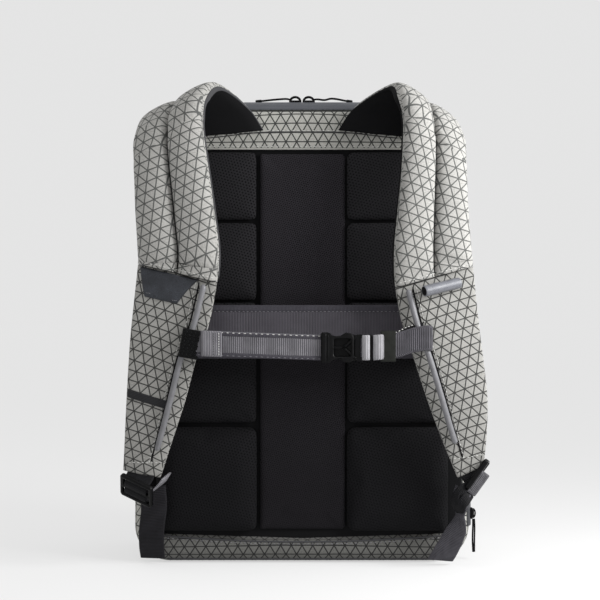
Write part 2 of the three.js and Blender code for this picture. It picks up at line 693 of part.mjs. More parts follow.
function buildLeatherRoll(strap) {
  const row = JOIN_ROW + ROLL_PLACE.row;
  const crown = LOWER_CROWN * tableValue(strap, 'crown', row);
  const height = LOWER_EDGE / 2 + crown + 2 * GAP + ROLL_DIAMETER / 2;
  const start = strapPoint(strap, row, ROLL_PLACE.from, height);
  const end = strapPoint(strap, row, ROLL_PLACE.to, height);
  const along = end.clone().sub(start).normalize();
  const outer = ROLL_DIAMETER / 2;
  const inner = outer - ROLL_WALL;
  const profile = [[inner, 0], [outer, 0], [outer, ROLL_LENGTH], [inner, ROLL_LENGTH], [inner, 0]];
  const geometry = new THREE.LatheGeometry(profile.map(([r, h]) => new THREE.Vector2(r, h)), 14);
  const roll = addPiece('leather_roll', geometry, LEATHER);
  roll.quaternion.setFromUnitVectors(point(0, 1, 0), along);
  roll.position.copy(start.lerp(end, 0.5).addScaledVector(along, -ROLL_LENGTH / 2));
}

// The elastic band across the left strap, lower at the cord than at the outer edge
const ELASTIC = { outerRow: 2.82, innerRow: 3.1, inner: 0.27, outer: 1 };

function buildElasticBand(strap) {
  const rowLength = strap.inner.getLength() / strap.last;
  const half = ELASTIC_HEIGHT / 2 / rowLength;
  const rows = [-half, half].map((shift) => [0, 0.3, 0.7, 0.9, 1].map((over) => ({
    row: JOIN_ROW + shift + ELASTIC.innerRow + (ELASTIC.outerRow - ELASTIC.innerRow) * over,
    u: ELASTIC.inner + (ELASTIC.outer - ELASTIC.inner) * over,
  })));
  addPiece('elastic_band', sewnOnLower(strap, rows, WEB_THICKNESS * 0.7), WEBBING);
}

// Half of the luggage band in plan, from its sewn end to the middle
const BAND_ROWS = [
  { x: 1.0, reach: 0.0 },
  { x: 0.965, reach: 0.0 },
  { x: 0.945, reach: 0.25 },
  { x: 0.915, reach: 0.42 },
  { x: 0.79, reach: 0.84 },
  { x: 0.6, reach: 0.97 },
  { x: 0.3, reach: 1.0 },
];

function buildLuggageBand() {
  const half = CHANNEL_WIDTH / 2 + PAD_SEAM / 2 + PAD_WIDTH + BAND_LANDING;
  const seat = PAD_SEAT - WEB_THICKNESS / 2;
  const z = LUGGAGE_BAND_TOP - LUGGAGE_BAND_HEIGHT / 2;
  const right = BAND_ROWS.map(({ x, reach }) => (
    point(x * half, seat + reach * (-LUGGAGE_BAND_REACH - seat), z)));
  const left = right.map((p) => point(-p.x, p.y, p.z)).reverse();
  addPiece('luggage_band', ribbonSolid([...right, ...left], point(0, 0, 1), LUGGAGE_BAND_HEIGHT,
    WEB_THICKNESS), WEBBING);
}

// The share of the rail that lies at a height, found by halving
function railShareAt(strap, z) {
  let low = 0.001;
  let high = 0.999;
  for (let i = 0; i < 30; i += 1) {
    const middle = (low + high) / 2;
    if (railPoint(strap, middle).z > z) {
      low = middle;
    } else {
      high = middle;
    }
  }
  return low;
}

function railFrameAt(strap, z) {
  const share = railShareAt(strap, z);
  const centre = railPoint(strap, share);
  const step = 0.01;
  const along = railPoint(strap, share + step).sub(railPoint(strap, share - step)).normalize();
  return { centre, along };
}

// Basis whose third axis runs along `along`, with its second axis towards the viewer
function turnTo(mesh, along, towards) {
  const z = along.clone().normalize();
  const y = towards.clone().addScaledVector(z, -towards.dot(z)).normalize();
  const x = y.clone().cross(z);
  mesh.quaternion.setFromRotationMatrix(new THREE.Matrix4().makeBasis(x, y, z));
}

const RAIL_CLEAR = 0.8;
const CLIP_BACK = 1.6;

// The clip that slides on the left cord, bored for it
function buildChestClip(strap) {
  const { centre, along } = railFrameAt(strap, CHEST_HEIGHT + CHEST_SAG);
  const bore = RAIL_DIAMETER / 2 + RAIL_CLEAR;
  const shape = roundedRectangle(CLIP_WIDTH, CLIP_THICKNESS, 2);
  const hole = new THREE.Path();
  const shift = CLIP_THICKNESS / 2 - bore - CLIP_BACK;
  hole.absarc(0, -shift, bore, 0, Math.PI * 2, true);
  shape.holes.push(hole);
  const clip = addPiece('chest_clip', plateSolid(shape, CLIP_LENGTH, 7), PLASTIC);
  turnTo(clip, along, point(0, -1, 0));
  const outwards = point(0, 1, 0).applyQuaternion(clip.quaternion);
  clip.position.copy(centre).addScaledVector(outwards, shift);
  return clip;
}

// Where the pieces of the chest strap begin and end, left to right, from the middle of the bag
const CHEST_TAIL = 17;
const CHEST_BOW = 1.5;
const FEMALE_LEFT = 17;
const MALE_LENGTH = 17;
const KEEPER_LEFT = 76;
const KEEPER_LENGTH = 12;
const KEEPER_WALL = 1.6;
const LADDER_BAR = 3;
const FOLD_LENGTH = 9;
const FOLD_START = 1;

// From the middle of a cord to the middle of the web that passes it
const RAIL_PASS = RAIL_DIAMETER / 2 + RAIL_CLEAR + WEB_THICKNESS / 2;

// The chest strap's depth: just in front of the right cord
function chestDepth(strap) {
  return railFrameAt(strap, CHEST_HEIGHT + CHEST_SAG).centre.y - RAIL_PASS;
}

// The left web, which sags from the clip to the buckle and bows out a little
function chestPath(xs, depth, bow) {
  const first = xs[0];
  const last = xs[xs.length - 1];
  return xs.map((x) => {
    const share = (x - first) / (last - first);
    const z = CHEST_HEIGHT + CHEST_SAG * (1 - share);
    return point(x, depth - bow * Math.sin(Math.PI * share), z);
  });
}

// The part of the clip that reaches furthest in, after its turn with the cord
function clipInnerSide(clip) {
  clip.updateMatrixWorld(true);
  return new THREE.Box3().setFromObject(clip).max.x;
}

function buildChestWebLeft(clip, depth) {
  const start = clipInnerSide(clip) + GAP;
  const end = FEMALE_LEFT - GAP;
  const xs = spread(start, end, 6);
  const path = chestPath(xs, depth, CHEST_BOW);
  const width = CHEST_WEB;
  addPiece('chest_web_left', ribbonSolid(path, point(0, 0, 1), width, WEB_THICKNESS), WEBBING);
  const lift = WEB_THICKNESS + GAP;
  const tail = [0, 0.5, 1].map((share) => {
    const x = start + CHEST_TAIL * share;
    const along = (x - start) / (end - start);
    const y = depth - CHEST_BOW * Math.sin(Math.PI * along) - lift - GAP / 2;
    return point(x, y, CHEST_HEIGHT + CHEST_SAG * (1 - along));
  });
  addPiece('chest_tail', ribbonSolid(tail, point(0, 0, 1), width, WEB_THICKNESS), PALE_WEBBING);
}

// The side release buckle: a shell with open sides, and the plug with its two ladder bars
function buildBuckle(depth) {
  const shell = roundedRectangle(BUCKLE_WIDTH, BUCKLE_HEIGHT, 5);
  const window = BUCKLE_HEIGHT * 0.34;
  cutSlot(shell, BUCKLE_WIDTH * 0.08, 0, BUCKLE_WIDTH * 0.42, window);
  const female = addPiece('buckle_female', plateSolid(shell, BUCKLE_THICKNESS), PLASTIC);
  female.rotation.set(Math.PI / 2, 0, 0);
  female.position.set(FEMALE_LEFT + BUCKLE_WIDTH / 2, depth, CHEST_HEIGHT);

  const length = MALE_LENGTH;
  const plug = roundedRectangle(length, BUCKLE_HEIGHT - 4, 2);
  const bars = 3;
  const slot = (length - (bars + 1) * LADDER_BAR) / bars;
  for (let i = 0; i < 2; i += 1) {
    const x = length / 2 - LADDER_BAR - slot / 2 - i * (slot + LADDER_BAR);
    cutSlot(plug, x, 0, slot, CHEST_WEB - 6 - i * 1.4);
  }
  const male = addPiece('buckle_male', plateSolid(plug, BUCKLE_THICKNESS * 0.45), PLASTIC);
  male.rotation.set(Math.PI / 2, 0, 0);
  male.position.set(FEMALE_LEFT + BUCKLE_WIDTH + GAP + length / 2, depth, CHEST_HEIGHT);
}

// The right web runs from the plug round the right cord and back behind itself
function buildChestLoop(strap, depth) {
  const { centre, along } = railFrameAt(strap, CHEST_HEIGHT + CHEST_SAG);
  const slant = Math.abs(along.x / along.z) * CHEST_WEB / 2;
  const start = FEMALE_LEFT + BUCKLE_WIDTH + MALE_LENGTH + 2 * GAP;
  const webHeight = (x) => CHEST_HEIGHT + CHEST_SAG * Math.max((x - start) / (centre.x - start), 0);
  const path = [];
  const leans = [];
  for (const [share, lean] of [[0, 0], [0.25, 0], [0.5, 0], [0.75, 0.4], [1, 1]]) {
    const x = start + (centre.x + slant - start) * share;
    path.push(point(x, depth, webHeight(x)));
    leans.push(lean);
  }
  for (const turn of [-60, -30, 0, 30, 60, 90]) {
    const angle = turn * Math.PI / 180;
    path.push(point(
      centre.x + slant + Math.cos(angle) * RAIL_PASS,
      centre.y + Math.sin(angle) * RAIL_PASS,
      centre.z,
    ));
  }
  path.push(point(centre.x - slant - RAIL_DIAMETER * 1.6, centre.y + RAIL_PASS, centre.z));
  const across = path.map((_, i) => point(0, (leans[i] ?? 1) * along.y, along.z));
  addPiece('chest_loop', ribbonSolid(path, across, CHEST_WEB, WEB_THICKNESS), WEBBING);
  return { start, depth, webHeight };
}

// The webbing folded over the plug's bar, and the keeper ring round the web
function buildChestFold(loop) {
  const lift = WEB_THICKNESS + GAP + 0.3;
  const path = [0, 0.5, 1].map((share) => {
    const x = loop.start + FOLD_START + FOLD_LENGTH * share;
    return point(x, loop.depth - lift, loop.webHeight(x));
  });
  addPiece('chest_fold', ribbonSolid(path, point(0, 0, 1), CHEST_WEB, WEB_THICKNESS), PALE_WEBBING);
  const hole = { width: WEB_THICKNESS * 2.4, height: CHEST_WEB + 2 };
  const ring = roundedRectangle(hole.width + 2 * KEEPER_WALL, hole.height + 2 * KEEPER_WALL, 1.5);
  cutSlot(ring, 0, 0, hole.width, hole.height);
  const keeper = addPiece('chest_keeper', plateSolid(ring, KEEPER_LENGTH, 2), PLASTIC);
  keeper.quaternion.setFromRotationMatrix(new THREE.Matrix4().makeBasis(
    point(0, 1, 0),
    point(0, 0, 1),
    point(1, 0, 0),
  ));
  const x = KEEPER_LEFT + KEEPER_LENGTH / 2;
  keeper.position.set(x, loop.depth, loop.webHeight(x));
}

// The ladder lock at the strap's end, with two slots between its three bars
function buildAdjuster(strap) {
  const { inner, outer, face } = strapFrame(strap, strap.last);
  const shape = roundedRectangle(LOCK_WIDTH, LOCK_HEIGHT, 2.5);
  const slot = (LOCK_HEIGHT - 3 * LOCK_BAR) / 2;
  for (const place of [-1, 1]) {
    cutSlot(shape, 0, place * (slot + LOCK_BAR) / 2, LOCK_WIDTH - 2 * LOCK_BAR + place, slot);
  }
  const lock = addPiece(`adjuster_${strap.label}`, plateSolid(shape, LOCK_THICKNESS), PLASTIC);
  const across = outer.clone().sub(inner).normalize();
  const down = across.clone().cross(face).multiplyScalar(strap.side).normalize();
  const centre = inner.clone().lerp(outer, 0.5).addScaledVector(down, LOCK_HEIGHT / 2 + GAP);
  lock.quaternion.setFromRotationMatrix(new THREE.Matrix4().makeBasis(
    across.clone().cross(down).dot(face) > 0 ? across : across.clone().negate(),
    down,
    face,
  ));
  lock.position.copy(centre);
  return { centre, across, down, face };
}

// Stations of the lower webbing from the lock to the bag's bottom corner, as shares of the drop
// from the lock to the floor, of HALF_WIDTH and of the lock's own depth. turn is in degrees.
const LEFT_WEB = [
  { drop: 0.0, x: 0.93, depth: 1.0, turn: 0 },
  { drop: 0.25, x: 0.885, depth: 0.86, turn: 4 },
  { drop: 0.55, x: 0.895, depth: 0.5, turn: 8 },
  { drop: 0.8, x: 0.9, depth: 0.3, turn: 4 },
  { drop: 0.94, x: 0.9, depth: 0.21, turn: 0 },
];
const RIGHT_WEB = [
  { drop: 0.0, x: 0.965, depth: 1.0, turn: 0 },
  { drop: 0.22, x: 0.93, depth: 1.0, turn: -45 },
  { drop: 0.45, x: 0.9, depth: 0.8, turn: -60 },
  { drop: 0.7, x: 0.86, depth: 0.45, turn: -35 },
  { drop: 0.85, x: 0.83, depth: 0.3, turn: -10 },
  { drop: 0.94, x: 0.815, depth: 0.23, turn: 0 },
];

function buildLowerWeb(strap, lock, stations) {
  const top = lock.centre.clone().addScaledVector(lock.down, LOCK_HEIGHT / 2 + GAP);
  const path = stations.map(({ drop, x, depth }) => (
    point(strap.side * x * HALF_WIDTH, top.y * depth, top.z * (1 - drop))));
  path[0].copy(top);
  const across = stations.map(({ turn }, i) => {
    const flat = i === 0 ? lock.across.clone().multiplyScalar(strap.side) : point(1, 0, 0);
    const angle = turn * Math.PI / 180;
    return flat.multiplyScalar(Math.cos(angle)).add(point(0, Math.sin(angle), 0));
  });
  addPiece(`web_lower_${strap.label}`, ribbonSolid(path, across, LOWER_WEB, WEB_THICKNESS), WEBBING);
}

// The folded end of the webbing in front of the lock's upper bar
function buildWebTail(strap, lock, rise, fall) {
  const lift = LOCK_THICKNESS / 2 + GAP + WEB_THICKNESS / 2;
  const path = [-rise, 0, fall].map((share) => lock.centre.clone()
    .addScaledVector(lock.down, share * LOCK_HEIGHT)
    .addScaledVector(lock.face, lift));
  addPiece(`web_tail_${strap.label}`, ribbonSolid(path, lock.across, LOWER_WEB, WEB_THICKNESS),
    PALE_WEBBING);
}

const LEFT = makeStrap(LEFT_STRAP, -1);
const RIGHT = makeStrap(RIGHT_STRAP, 1);

buildBodyShell();
buildBackPanel();
buildPads();
buildStrips();
buildZips();
buildSideZip();
for (const strap of [LEFT, RIGHT]) {
  buildUpperStrap(strap);
  buildLowerStrap(strap);
  buildRail(strap);
}
buildLeatherPatch(LEFT);
buildLeatherRoll(RIGHT);
buildElasticBand(LEFT);
buildLuggageBand();
const clip = buildChestClip(LEFT);
const depth = chestDepth(RIGHT);
buildChestWebLeft(clip, depth);
buildBuckle(depth);
buildChestFold(buildChestLoop(RIGHT, depth));
const leftLock = buildAdjuster(LEFT);
buildLowerWeb(LEFT, leftLock, LEFT_WEB);
buildWebTail(LEFT, leftLock, 0.25, 0.25);
const rightLock = buildAdjuster(RIGHT);
buildLowerWeb(RIGHT, rightLock, RIGHT_WEB);
buildWebTail(RIGHT, rightLock, 0.3, 0.4);

// The origin goes to the middle of the footprint, at the height of the floor
function standOnOrigin() {
  pack.updateMatrixWorld(true);
  const box = new THREE.Box3().setFromObject(pack, true);
  const middle = box.getCenter(new THREE.Vector3());
  pack.position.set(-middle.x, -middle.y, -box.min.z);
}

standOnOrigin();

export default pack;
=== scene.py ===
# The looks of the laptop backpack. Lengths are in millimetres from the middle of the back panel's
# seam, as in the CAD source, until a mesh is made: then they are metres in the frame of the row.
import math

import bmesh
import bpy
import numpy as np
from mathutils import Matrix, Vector, noise


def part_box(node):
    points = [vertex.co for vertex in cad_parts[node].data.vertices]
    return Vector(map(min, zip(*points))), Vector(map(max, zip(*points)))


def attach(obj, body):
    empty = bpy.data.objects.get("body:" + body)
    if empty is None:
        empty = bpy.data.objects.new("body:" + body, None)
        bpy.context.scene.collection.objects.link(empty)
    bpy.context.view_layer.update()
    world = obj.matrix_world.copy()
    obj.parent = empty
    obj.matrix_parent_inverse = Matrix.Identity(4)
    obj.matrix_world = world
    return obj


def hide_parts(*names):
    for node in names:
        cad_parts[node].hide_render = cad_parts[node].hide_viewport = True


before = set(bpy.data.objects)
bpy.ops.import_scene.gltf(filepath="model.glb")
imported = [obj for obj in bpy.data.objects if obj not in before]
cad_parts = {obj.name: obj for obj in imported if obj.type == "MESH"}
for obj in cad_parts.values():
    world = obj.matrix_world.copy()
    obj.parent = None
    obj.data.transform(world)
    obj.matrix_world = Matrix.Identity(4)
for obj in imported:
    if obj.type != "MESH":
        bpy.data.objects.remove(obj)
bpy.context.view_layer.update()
SCENE = bpy.context.scene

MM = 0.001
BAG_LOW, BAG_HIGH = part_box("body_shell")
SHIFT = np.array([(BAG_LOW.x + BAG_HIGH.x) / 2, BAG_LOW.y, 0.0])

# Sizes that the CAD source has too
BODY_HEIGHT = 440
BODY_WIDTH = 322
BODY_TOP_WIDTH = 300
BODY_DEPTH = 160
TOP_CORNER = 62
BOTTOM_CORNER = 34
SEAM_ROUND = 7
FRONT_CROWN = 8
SIDE_BULGE = 3
HALF_WIDTH = BODY_WIDTH / 2
GAP = 0.3
PAD_SEAT = -4.6
BOARD_INSET = 8
STRIP_THICKNESS = 3.5
CHANNEL_WIDTH = 84
CHANNEL_THICKNESS = 5
PAD_WIDTH = 95
PAD_THICKNESS = 13
PAD_SEAM = 3
PAD_HIGH = 393
PAD_LOW = 30
STRAP_REACH = 70
STRAP_EDGE = 5
STRAP_CROWN = 7
LOWER_EDGE = 4.4
LOWER_CROWN = 3.6
RAIL_DIAMETER = 5.4
RAIL_LIFT = 2.6
RAIL_AT = 0.2
RAIL_BORE = RAIL_DIAMETER / 2 + 0.8
RAIL_PASS = RAIL_BORE + 0.85
WEB_THICKNESS = 1.7
CHEST_WEB = 23
LOWER_WEB = 24
CHEST_HEIGHT = 207
CHEST_SAG = 4
LOCK_THICKNESS = 4
LOCK_BAR = 3.2
FEMALE_LEFT = 17
BUCKLE_WIDTH = 30
MALE_LENGTH = 17
KEEPER_LEFT = 76
KEEPER_LENGTH = 12


def vec(x, y, z):
    return np.array([x, y, z], float)


def unit(v):
    return v / max(np.linalg.norm(v), 1e-12)


def smoothstep(x, low, high):
    t = min(max((x - low) / (high - low), 0.0), 1.0)
    return t * t * (3 - 2 * t)


def ripple(p, scale, seed=0.0):
    """Smooth noise from -1 to 1 at a point, over waves of `scale` millimetres."""
    return noise.noise(Vector((p[0] / scale + seed, p[1] / scale - seed, p[2] / scale + seed * 0.7)))


X, Y, Z = np.eye(3)
FRONT = -Y


def lengths(points):
    """How far along a path each of its points lies."""
    steps = np.linalg.norm(np.diff(np.asarray(points, float), axis=0), axis=1)
    return np.concatenate([[0], np.cumsum(steps)])


def sampled(at, run, values):
    """What `values`, a row for each of the lengths `run`, come to at the lengths `at`."""
    return np.stack([np.interp(at, run, column) for column in np.asarray(values, float).T], axis=-1)


def rounding(edge, radius, least):
    """The share of its full height that a rounded rim has at `edge` from its end."""
    return math.sqrt(max(1 - (1 - min(edge / radius, 1)) ** 2, least))


def ring(centre, side, other, count, reach=1.0):
    """Points round a centre, on the ellipse of two half axes."""
    return [centre + reach * (side * math.cos(a) + other * math.sin(a))
            for a in np.linspace(0, 2 * math.pi, count, endpoint=False)]


def shade(colour, share):
    return [c * share for c in colour]


# Materials


class Shader:
    """A material with one Principled BSDF, and short calls for the nodes that feed it."""

    def __init__(self, name, colour, roughness, **sockets):
        self.material = bpy.data.materials.new(name)
        self.material.use_nodes = True
        self.tree = self.material.node_tree
        self.bsdf = self.tree.nodes["Principled BSDF"]
        self.bsdf.inputs["Base Color"].default_value = (*colour, 1)
        self.bsdf.inputs["Roughness"].default_value = roughness
        for socket, value in sockets.items():
            self.bsdf.inputs[socket.replace("_", " ").title().replace("Ior", "IOR")].default_value = value

    def add(self, kind, *values, **inputs):
        """A node, with values or other nodes' outputs put in its sockets by order or by name."""
        made = self.tree.nodes.new("ShaderNode" + kind)
        for socket, value in zip(made.inputs, values):
            self.put(socket, value)
        for name, value in inputs.items():
            self.put(made.inputs[name.title()], value)
        return made

    def put(self, socket, value):
        if isinstance(value, bpy.types.NodeSocket):
            self.tree.links.new(value, socket)
        else:
            socket.default_value = value

    def math(self, operation, *values):
        made = self.add("Math", *values)
        made.operation = operation
        return made.outputs[0]

    def total(self, operation, values):
        whole = values[0]
        for value in values[1:]:
            whole = self.math(operation, whole, value)
        return whole

    def cloth_plan(self):
        """Across and along the cloth, in millimetres, from the piece's own map."""
        found = self.add("UVMap")
        found.uv_map = "cloth"
        split = self.add("SeparateXYZ", found.outputs[0])
        return found.outputs[0], split.outputs[0], split.outputs[1]

    def place(self):
        """The point on the piece in millimetres, for pieces without a map."""
        found = self.add("TexCoord")
        made = self.add("VectorMath", found.outputs["Object"])
        made.operation = "SCALE"
        made.inputs["Scale"].default_value = 1 / MM
        return made.outputs[0], self.add("SeparateXYZ", made.outputs[0]).outputs

    def noise(self, vector, scale, detail=2.0, roughness=0.5):
        return self.add("TexNoise", vector=vector, scale=scale, detail=detail,
                        roughness=roughness).outputs[0]

    def span(self, value, from_low, from_high, to_low, to_high, smooth=False):
        made = self.add("MapRange", value, from_low, from_high, to_low, to_high)
        if smooth:
            made.interpolation_type = "SMOOTHSTEP"
        return made.outputs[0]

    def mix(self, share, a, b):
        made = self.tree.nodes.new("ShaderNodeMix")
        made.data_type = "RGBA"
        self.put(made.inputs[0], share)
        for socket, value in zip(made.inputs[6:8], (a, b)):
            self.put(socket, value if isinstance(value, bpy.types.NodeSocket) else (*value, 1))
        return made.outputs[2]

    def spot(self, tone, other, pattern, low, high, share):
        """A tone with another mixed in, by up to `share` where the pattern is high."""
        return self.mix(self.span(pattern, low, high, 0.0, share), tone, other)

    def wave(self, value, pitch):
        """A cosine of `pitch` millimetres, from 0 to 1."""
        turn = self.math("MULTIPLY_ADD", value, 2 * math.pi / pitch, 0.0)
        return self.math("MULTIPLY_ADD", self.math("COSINE", turn), 0.5, 0.5)

    def slanted(self, across, along, degrees):
        """How far a point lies along a direction of the cloth."""
        angle = math.radians(degrees)
        return self.math("ADD", self.math("MULTIPLY", across, math.cos(angle)),
                         self.math("MULTIPLY", along, math.sin(angle)))

    def threads(self, across, along, pitch):
        """A plain weave, high where a thread passes over another."""
        weft, warp = self.wave(across, pitch), self.wave(along, pitch)
        under = self.math("MULTIPLY", self.math("SUBTRACT", 1.0, weft), self.math("SUBTRACT", 1.0, warp))
        return self.math("ADD", self.math("MULTIPLY", weft, warp), under)

    def colour(self, value):
        self.put(self.bsdf.inputs["Base Color"], value)

    def roughness(self, value, from_low, from_high, to_low, to_high):
        self.put(self.bsdf.inputs["Roughness"], self.span(value, from_low, from_high, to_low, to_high))

    def bump(self, height, strength, distance, below=None):
        made = self.add("Bump", strength=strength, distance=distance, height=height)
        if below is not None:
            self.put(made.inputs["Normal"], below)
        self.put(self.bsdf.inputs["Normal"], made.outputs[0])
        return made.outputs[0]


LATTICE_SIDE = 10.2
LATTICE_LINE = 1.12


def lattice_fabric(name, turn, ground=(0.32, 0.315, 0.3), line=(0.05, 0.051, 0.049)):
    """Pale melange cloth with a lattice of triangles, turned by `turn` degrees."""
    s = Shader(name, ground, 0.82, sheen_weight=0.06, sheen_roughness=0.45, specular_ior_level=0.2)
    plan, across, along = s.cloth_plan()
    row = LATTICE_SIDE * math.sqrt(3) / 2
    wobble = s.math("MULTIPLY_ADD", s.noise(plan, 0.9, 1.0), 0.24, -0.12)
    steps = [s.math("DIVIDE", s.math("ADD", s.slanted(across, along, turn + family + 90), wobble), row)
             for family in (0, 60, 120)]
    nearest = s.total("MINIMUM", [s.math("PINGPONG", step, 0.5) for step in steps])
    parity = s.total("ADD", [s.math("FLOOR", step) for step in steps])
    half = LATTICE_LINE / 2 / row
    printed = s.span(nearest, half * 0.65, half * 1.35, 1.0, 0.0, smooth=True)
    facing = s.math("MULTIPLY", s.math("PINGPONG", s.math("DIVIDE", parity, 2.0), 0.5), 2.0)
    threads = s.threads(across, along, 0.62)
    flecks = s.noise(plan, 0.75, 3.0, 0.7)
    drift = s.noise(plan, 0.035, 2.0)
    pale = s.spot(shade(ground, 0.74), shade(ground, 1.2), flecks, 0.32, 0.68, 1.0)
    # Painted sheen: one of the two kinds of triangle, woven the other way, is made paler as if it caught
    # more light.
    pale = s.mix(s.math("MULTIPLY", facing, 0.3), pale, shade(ground, 1.2))
    pale = s.spot(pale, shade(ground, 0.72), drift, 0.35, 0.65, 0.16)
    pale = s.mix(s.math("MULTIPLY", threads, 0.16), pale, shade(ground, 0.6))
    inked = s.spot(line, shade(line, 2.1), flecks, 0.3, 0.75, 1.0)
    s.colour(s.mix(printed, pale, inked))
    s.roughness(flecks, 0.2, 0.8, 0.74, 0.9)
    weave = s.bump(threads, 0.35, 0.00018)
    s.bump(s.math("SUBTRACT", flecks, s.math("MULTIPLY", printed, 0.35)), 0.4, 0.00022, weave)
    return s.material


def spacer_mesh(name, base=(0.003, 0.003, 0.0035), knit=(0.0145, 0.014, 0.0155), pitch=3.0):
    """Black knitted air mesh: rows of small round holes, with painted shade that darkens the knit lower
    down.
    """
    s = Shader(name, knit, 0.8, sheen_weight=0.01, sheen_roughness=0.5, specular_ior_level=0.07)
    point, (x, _, z) = s.place()
    rows = [s.wave(s.slanted(x, z, turn), pitch * math.sqrt(3) / 2) for turn in (15, 75, 135)]
    hole = s.span(s.total("ADD", rows), 1.55, 2.45, 0.0, 1.0, smooth=True)
    fibres = s.noise(point, 1.4, 3.0, 0.6)
    drift = s.noise(point, 0.03, 2.0)
    yarn = s.spot(shade(knit, 0.75), shade(knit, 1.3), fibres, 0.3, 0.7, 1.0)
    yarn = s.spot(yarn, shade(knit, 1.35), drift, 0.4, 0.65, 0.3)
    # Painted shade: the knit fades towards the hole colour lower down the pads, as if less light reached
    # them.
    yarn = s.mix(s.span(z, 70.0, 270.0, 0.8, 0.0), yarn, base)
    s.colour(s.mix(hole, yarn, base))
    s.roughness(fibres, 0.2, 0.8, 0.7, 0.92)
    raised = s.bump(s.math("SUBTRACT", 1.0, hole), 0.8, 0.0006)
    s.bump(fibres, 0.3, 0.0002, raised)
    return s.material


def plain_weave(name, colour, pitch=0.9, sheen=0.02):
    """A plain woven cloth."""
    s = Shader(name, colour, 0.85, sheen_weight=sheen, sheen_roughness=0.4, specular_ior_level=0.07)
    plan, across, along = s.cloth_plan()
    threads = s.threads(across, along, pitch)
    fibres = s.noise(plan, 1.2, 3.0, 0.6)
    drift = s.noise(plan, 0.05, 2.0)
    tone = s.spot(shade(colour, 0.8), shade(colour, 1.25), fibres, 0.3, 0.7, 1.0)
    tone = s.spot(tone, shade(colour, 1.4), drift, 0.35, 0.65, 0.25)
    s.colour(s.mix(s.math("MULTIPLY", threads, 0.35), tone, shade(colour, 0.5)))
    s.roughness(fibres, 0.2, 0.8, 0.6, 0.85)
    s.bump(fibres, 0.25, 0.0002, s.bump(threads, 0.5, 0.0002))
    return s.material


def ribbed_webbing(name, colour, light, pitch, sheen=0.04, gloss=0.25):
    """Webbing whose ribs run across it, with paler crowns that are painted highlights."""
    s = Shader(name, colour, 0.6, sheen_weight=sheen, sheen_roughness=0.35, specular_ior_level=gloss)
    plan, along, across = s.cloth_plan()
    yarn = s.wave(across, 0.7)
    fibres = s.noise(plan, 1.6, 3.0, 0.6)
    drift = s.noise(plan, 0.08, 2.0)
    # Painted highlight: the ribs' crowns go towards the light tone.
    crest = s.math("MULTIPLY", s.wave(along, pitch), s.math("MULTIPLY_ADD", yarn, 0.45, 0.55))
    tone = s.mix(crest, shade(colour, 0.55), light)
    tone = s.spot(tone, shade(colour, 0.5), fibres, 0.3, 0.7, 0.3)
    s.colour(s.spot(tone, light, drift, 0.35, 0.65, 0.22))
    s.roughness(fibres, 0.2, 0.8, 0.5, 0.75)
    s.bump(fibres, 0.3, 0.0002, s.bump(crest, 0.6, 0.0004))
    return s.material


def moulded_plastic(name, colour=(0.0022, 0.0022, 0.0024), rough=(0.22, 0.38)):
    s = Shader(name, colour, rough[0], specular_ior_level=0.1)
    point, _ = s.place()
    speckle = s.noise(point, 2.6, 3.0, 0.6)
    wear = s.noise(point, 0.12, 3.0, 0.55)
    tone = s.spot(colour, shade(colour, 2.0), wear, 0.42, 0.7, 0.6)
    s.colour(s.spot(tone, shade(colour, 2.8), speckle, 0.45, 0.8, 0.35))
    s.roughness(wear, 0.3, 0.7, *rough)
    s.bump(speckle, 0.4, 0.00012)
    return s.material


def grained_leather(name, colour=(0.019, 0.021, 0.026), light=(0.04, 0.044, 0.054), coat=0.08):
    s = Shader(name, colour, 0.4, coat_weight=coat, coat_roughness=0.4, specular_ior_level=0.25)
    point, _ = s.place()
    cells = s.add("TexVoronoi", vector=point, scale=0.85)
    cells.feature = "DISTANCE_TO_EDGE"
    creases = s.span(cells.outputs["Distance"], 0.0, 0.14, 0.0, 1.0, smooth=True)
    pores = s.noise(point, 1.8, 4.0, 0.6)
    worn = s.noise(point, 0.07, 3.0, 0.6)
    tone = s.spot(colour, light, worn, 0.4, 0.68, 0.8)
    tone = s.spot(tone, light, pores, 0.5, 0.75, 0.4)
    s.colour(s.mix(creases, shade(colour, 0.6), tone))
    s.roughness(worn, 0.3, 0.7, 0.34, 0.52)
    s.bump(pores, 0.25, 0.00015, s.bump(creases, 0.22, 0.00018))
    return s.material


def twisted_cord(name, colour=(0.12, 0.12, 0.128), light=(0.25, 0.25, 0.262)):
    s = Shader(name, colour, 0.38, sheen_weight=0.12, sheen_roughness=0.3, specular_ior_level=0.35)
    plan, around, along = s.cloth_plan()
    lean = s.math("MULTIPLY", around, 0.8)
    yarn = s.math("MULTIPLY", *(s.wave(s.math(way, along, lean), 1.0) for way in ("ADD", "SUBTRACT")))
    drift = s.noise(plan, 0.1, 3.0)
    s.colour(s.spot(s.mix(yarn, colour, light), shade(colour, 0.6), drift, 0.4, 0.7, 0.4))
    s.roughness(drift, 0.3, 0.7, 0.3, 0.48)
    s.bump(yarn, 0.35, 0.00015)
    return s.material


def coated_tape(name, colour=(0.026, 0.029, 0.038), light=(0.062, 0.067, 0.081)):
    s = Shader(name, colour, 0.45, coat_weight=0.15, coat_roughness=0.4)
    plan, around, _ = s.cloth_plan()
    rib = s.wave(around, 1.3)
    grain = s.noise(plan, 0.8, 3.0, 0.6)
    drift = s.noise(plan, 0.04, 2.0)
    tone = s.mix(s.math("MULTIPLY", rib, 0.5), colour, light)
    tone = s.spot(tone, light, drift, 0.35, 0.7, 0.4)
    s.colour(s.spot(tone, shade(colour, 0.55), grain, 0.4, 0.7, 0.35))
    s.roughness(grain, 0.3, 0.7, 0.36, 0.55)
    s.bump(s.math("ADD", rib, grain), 0.35, 0.0002)
    return s.material


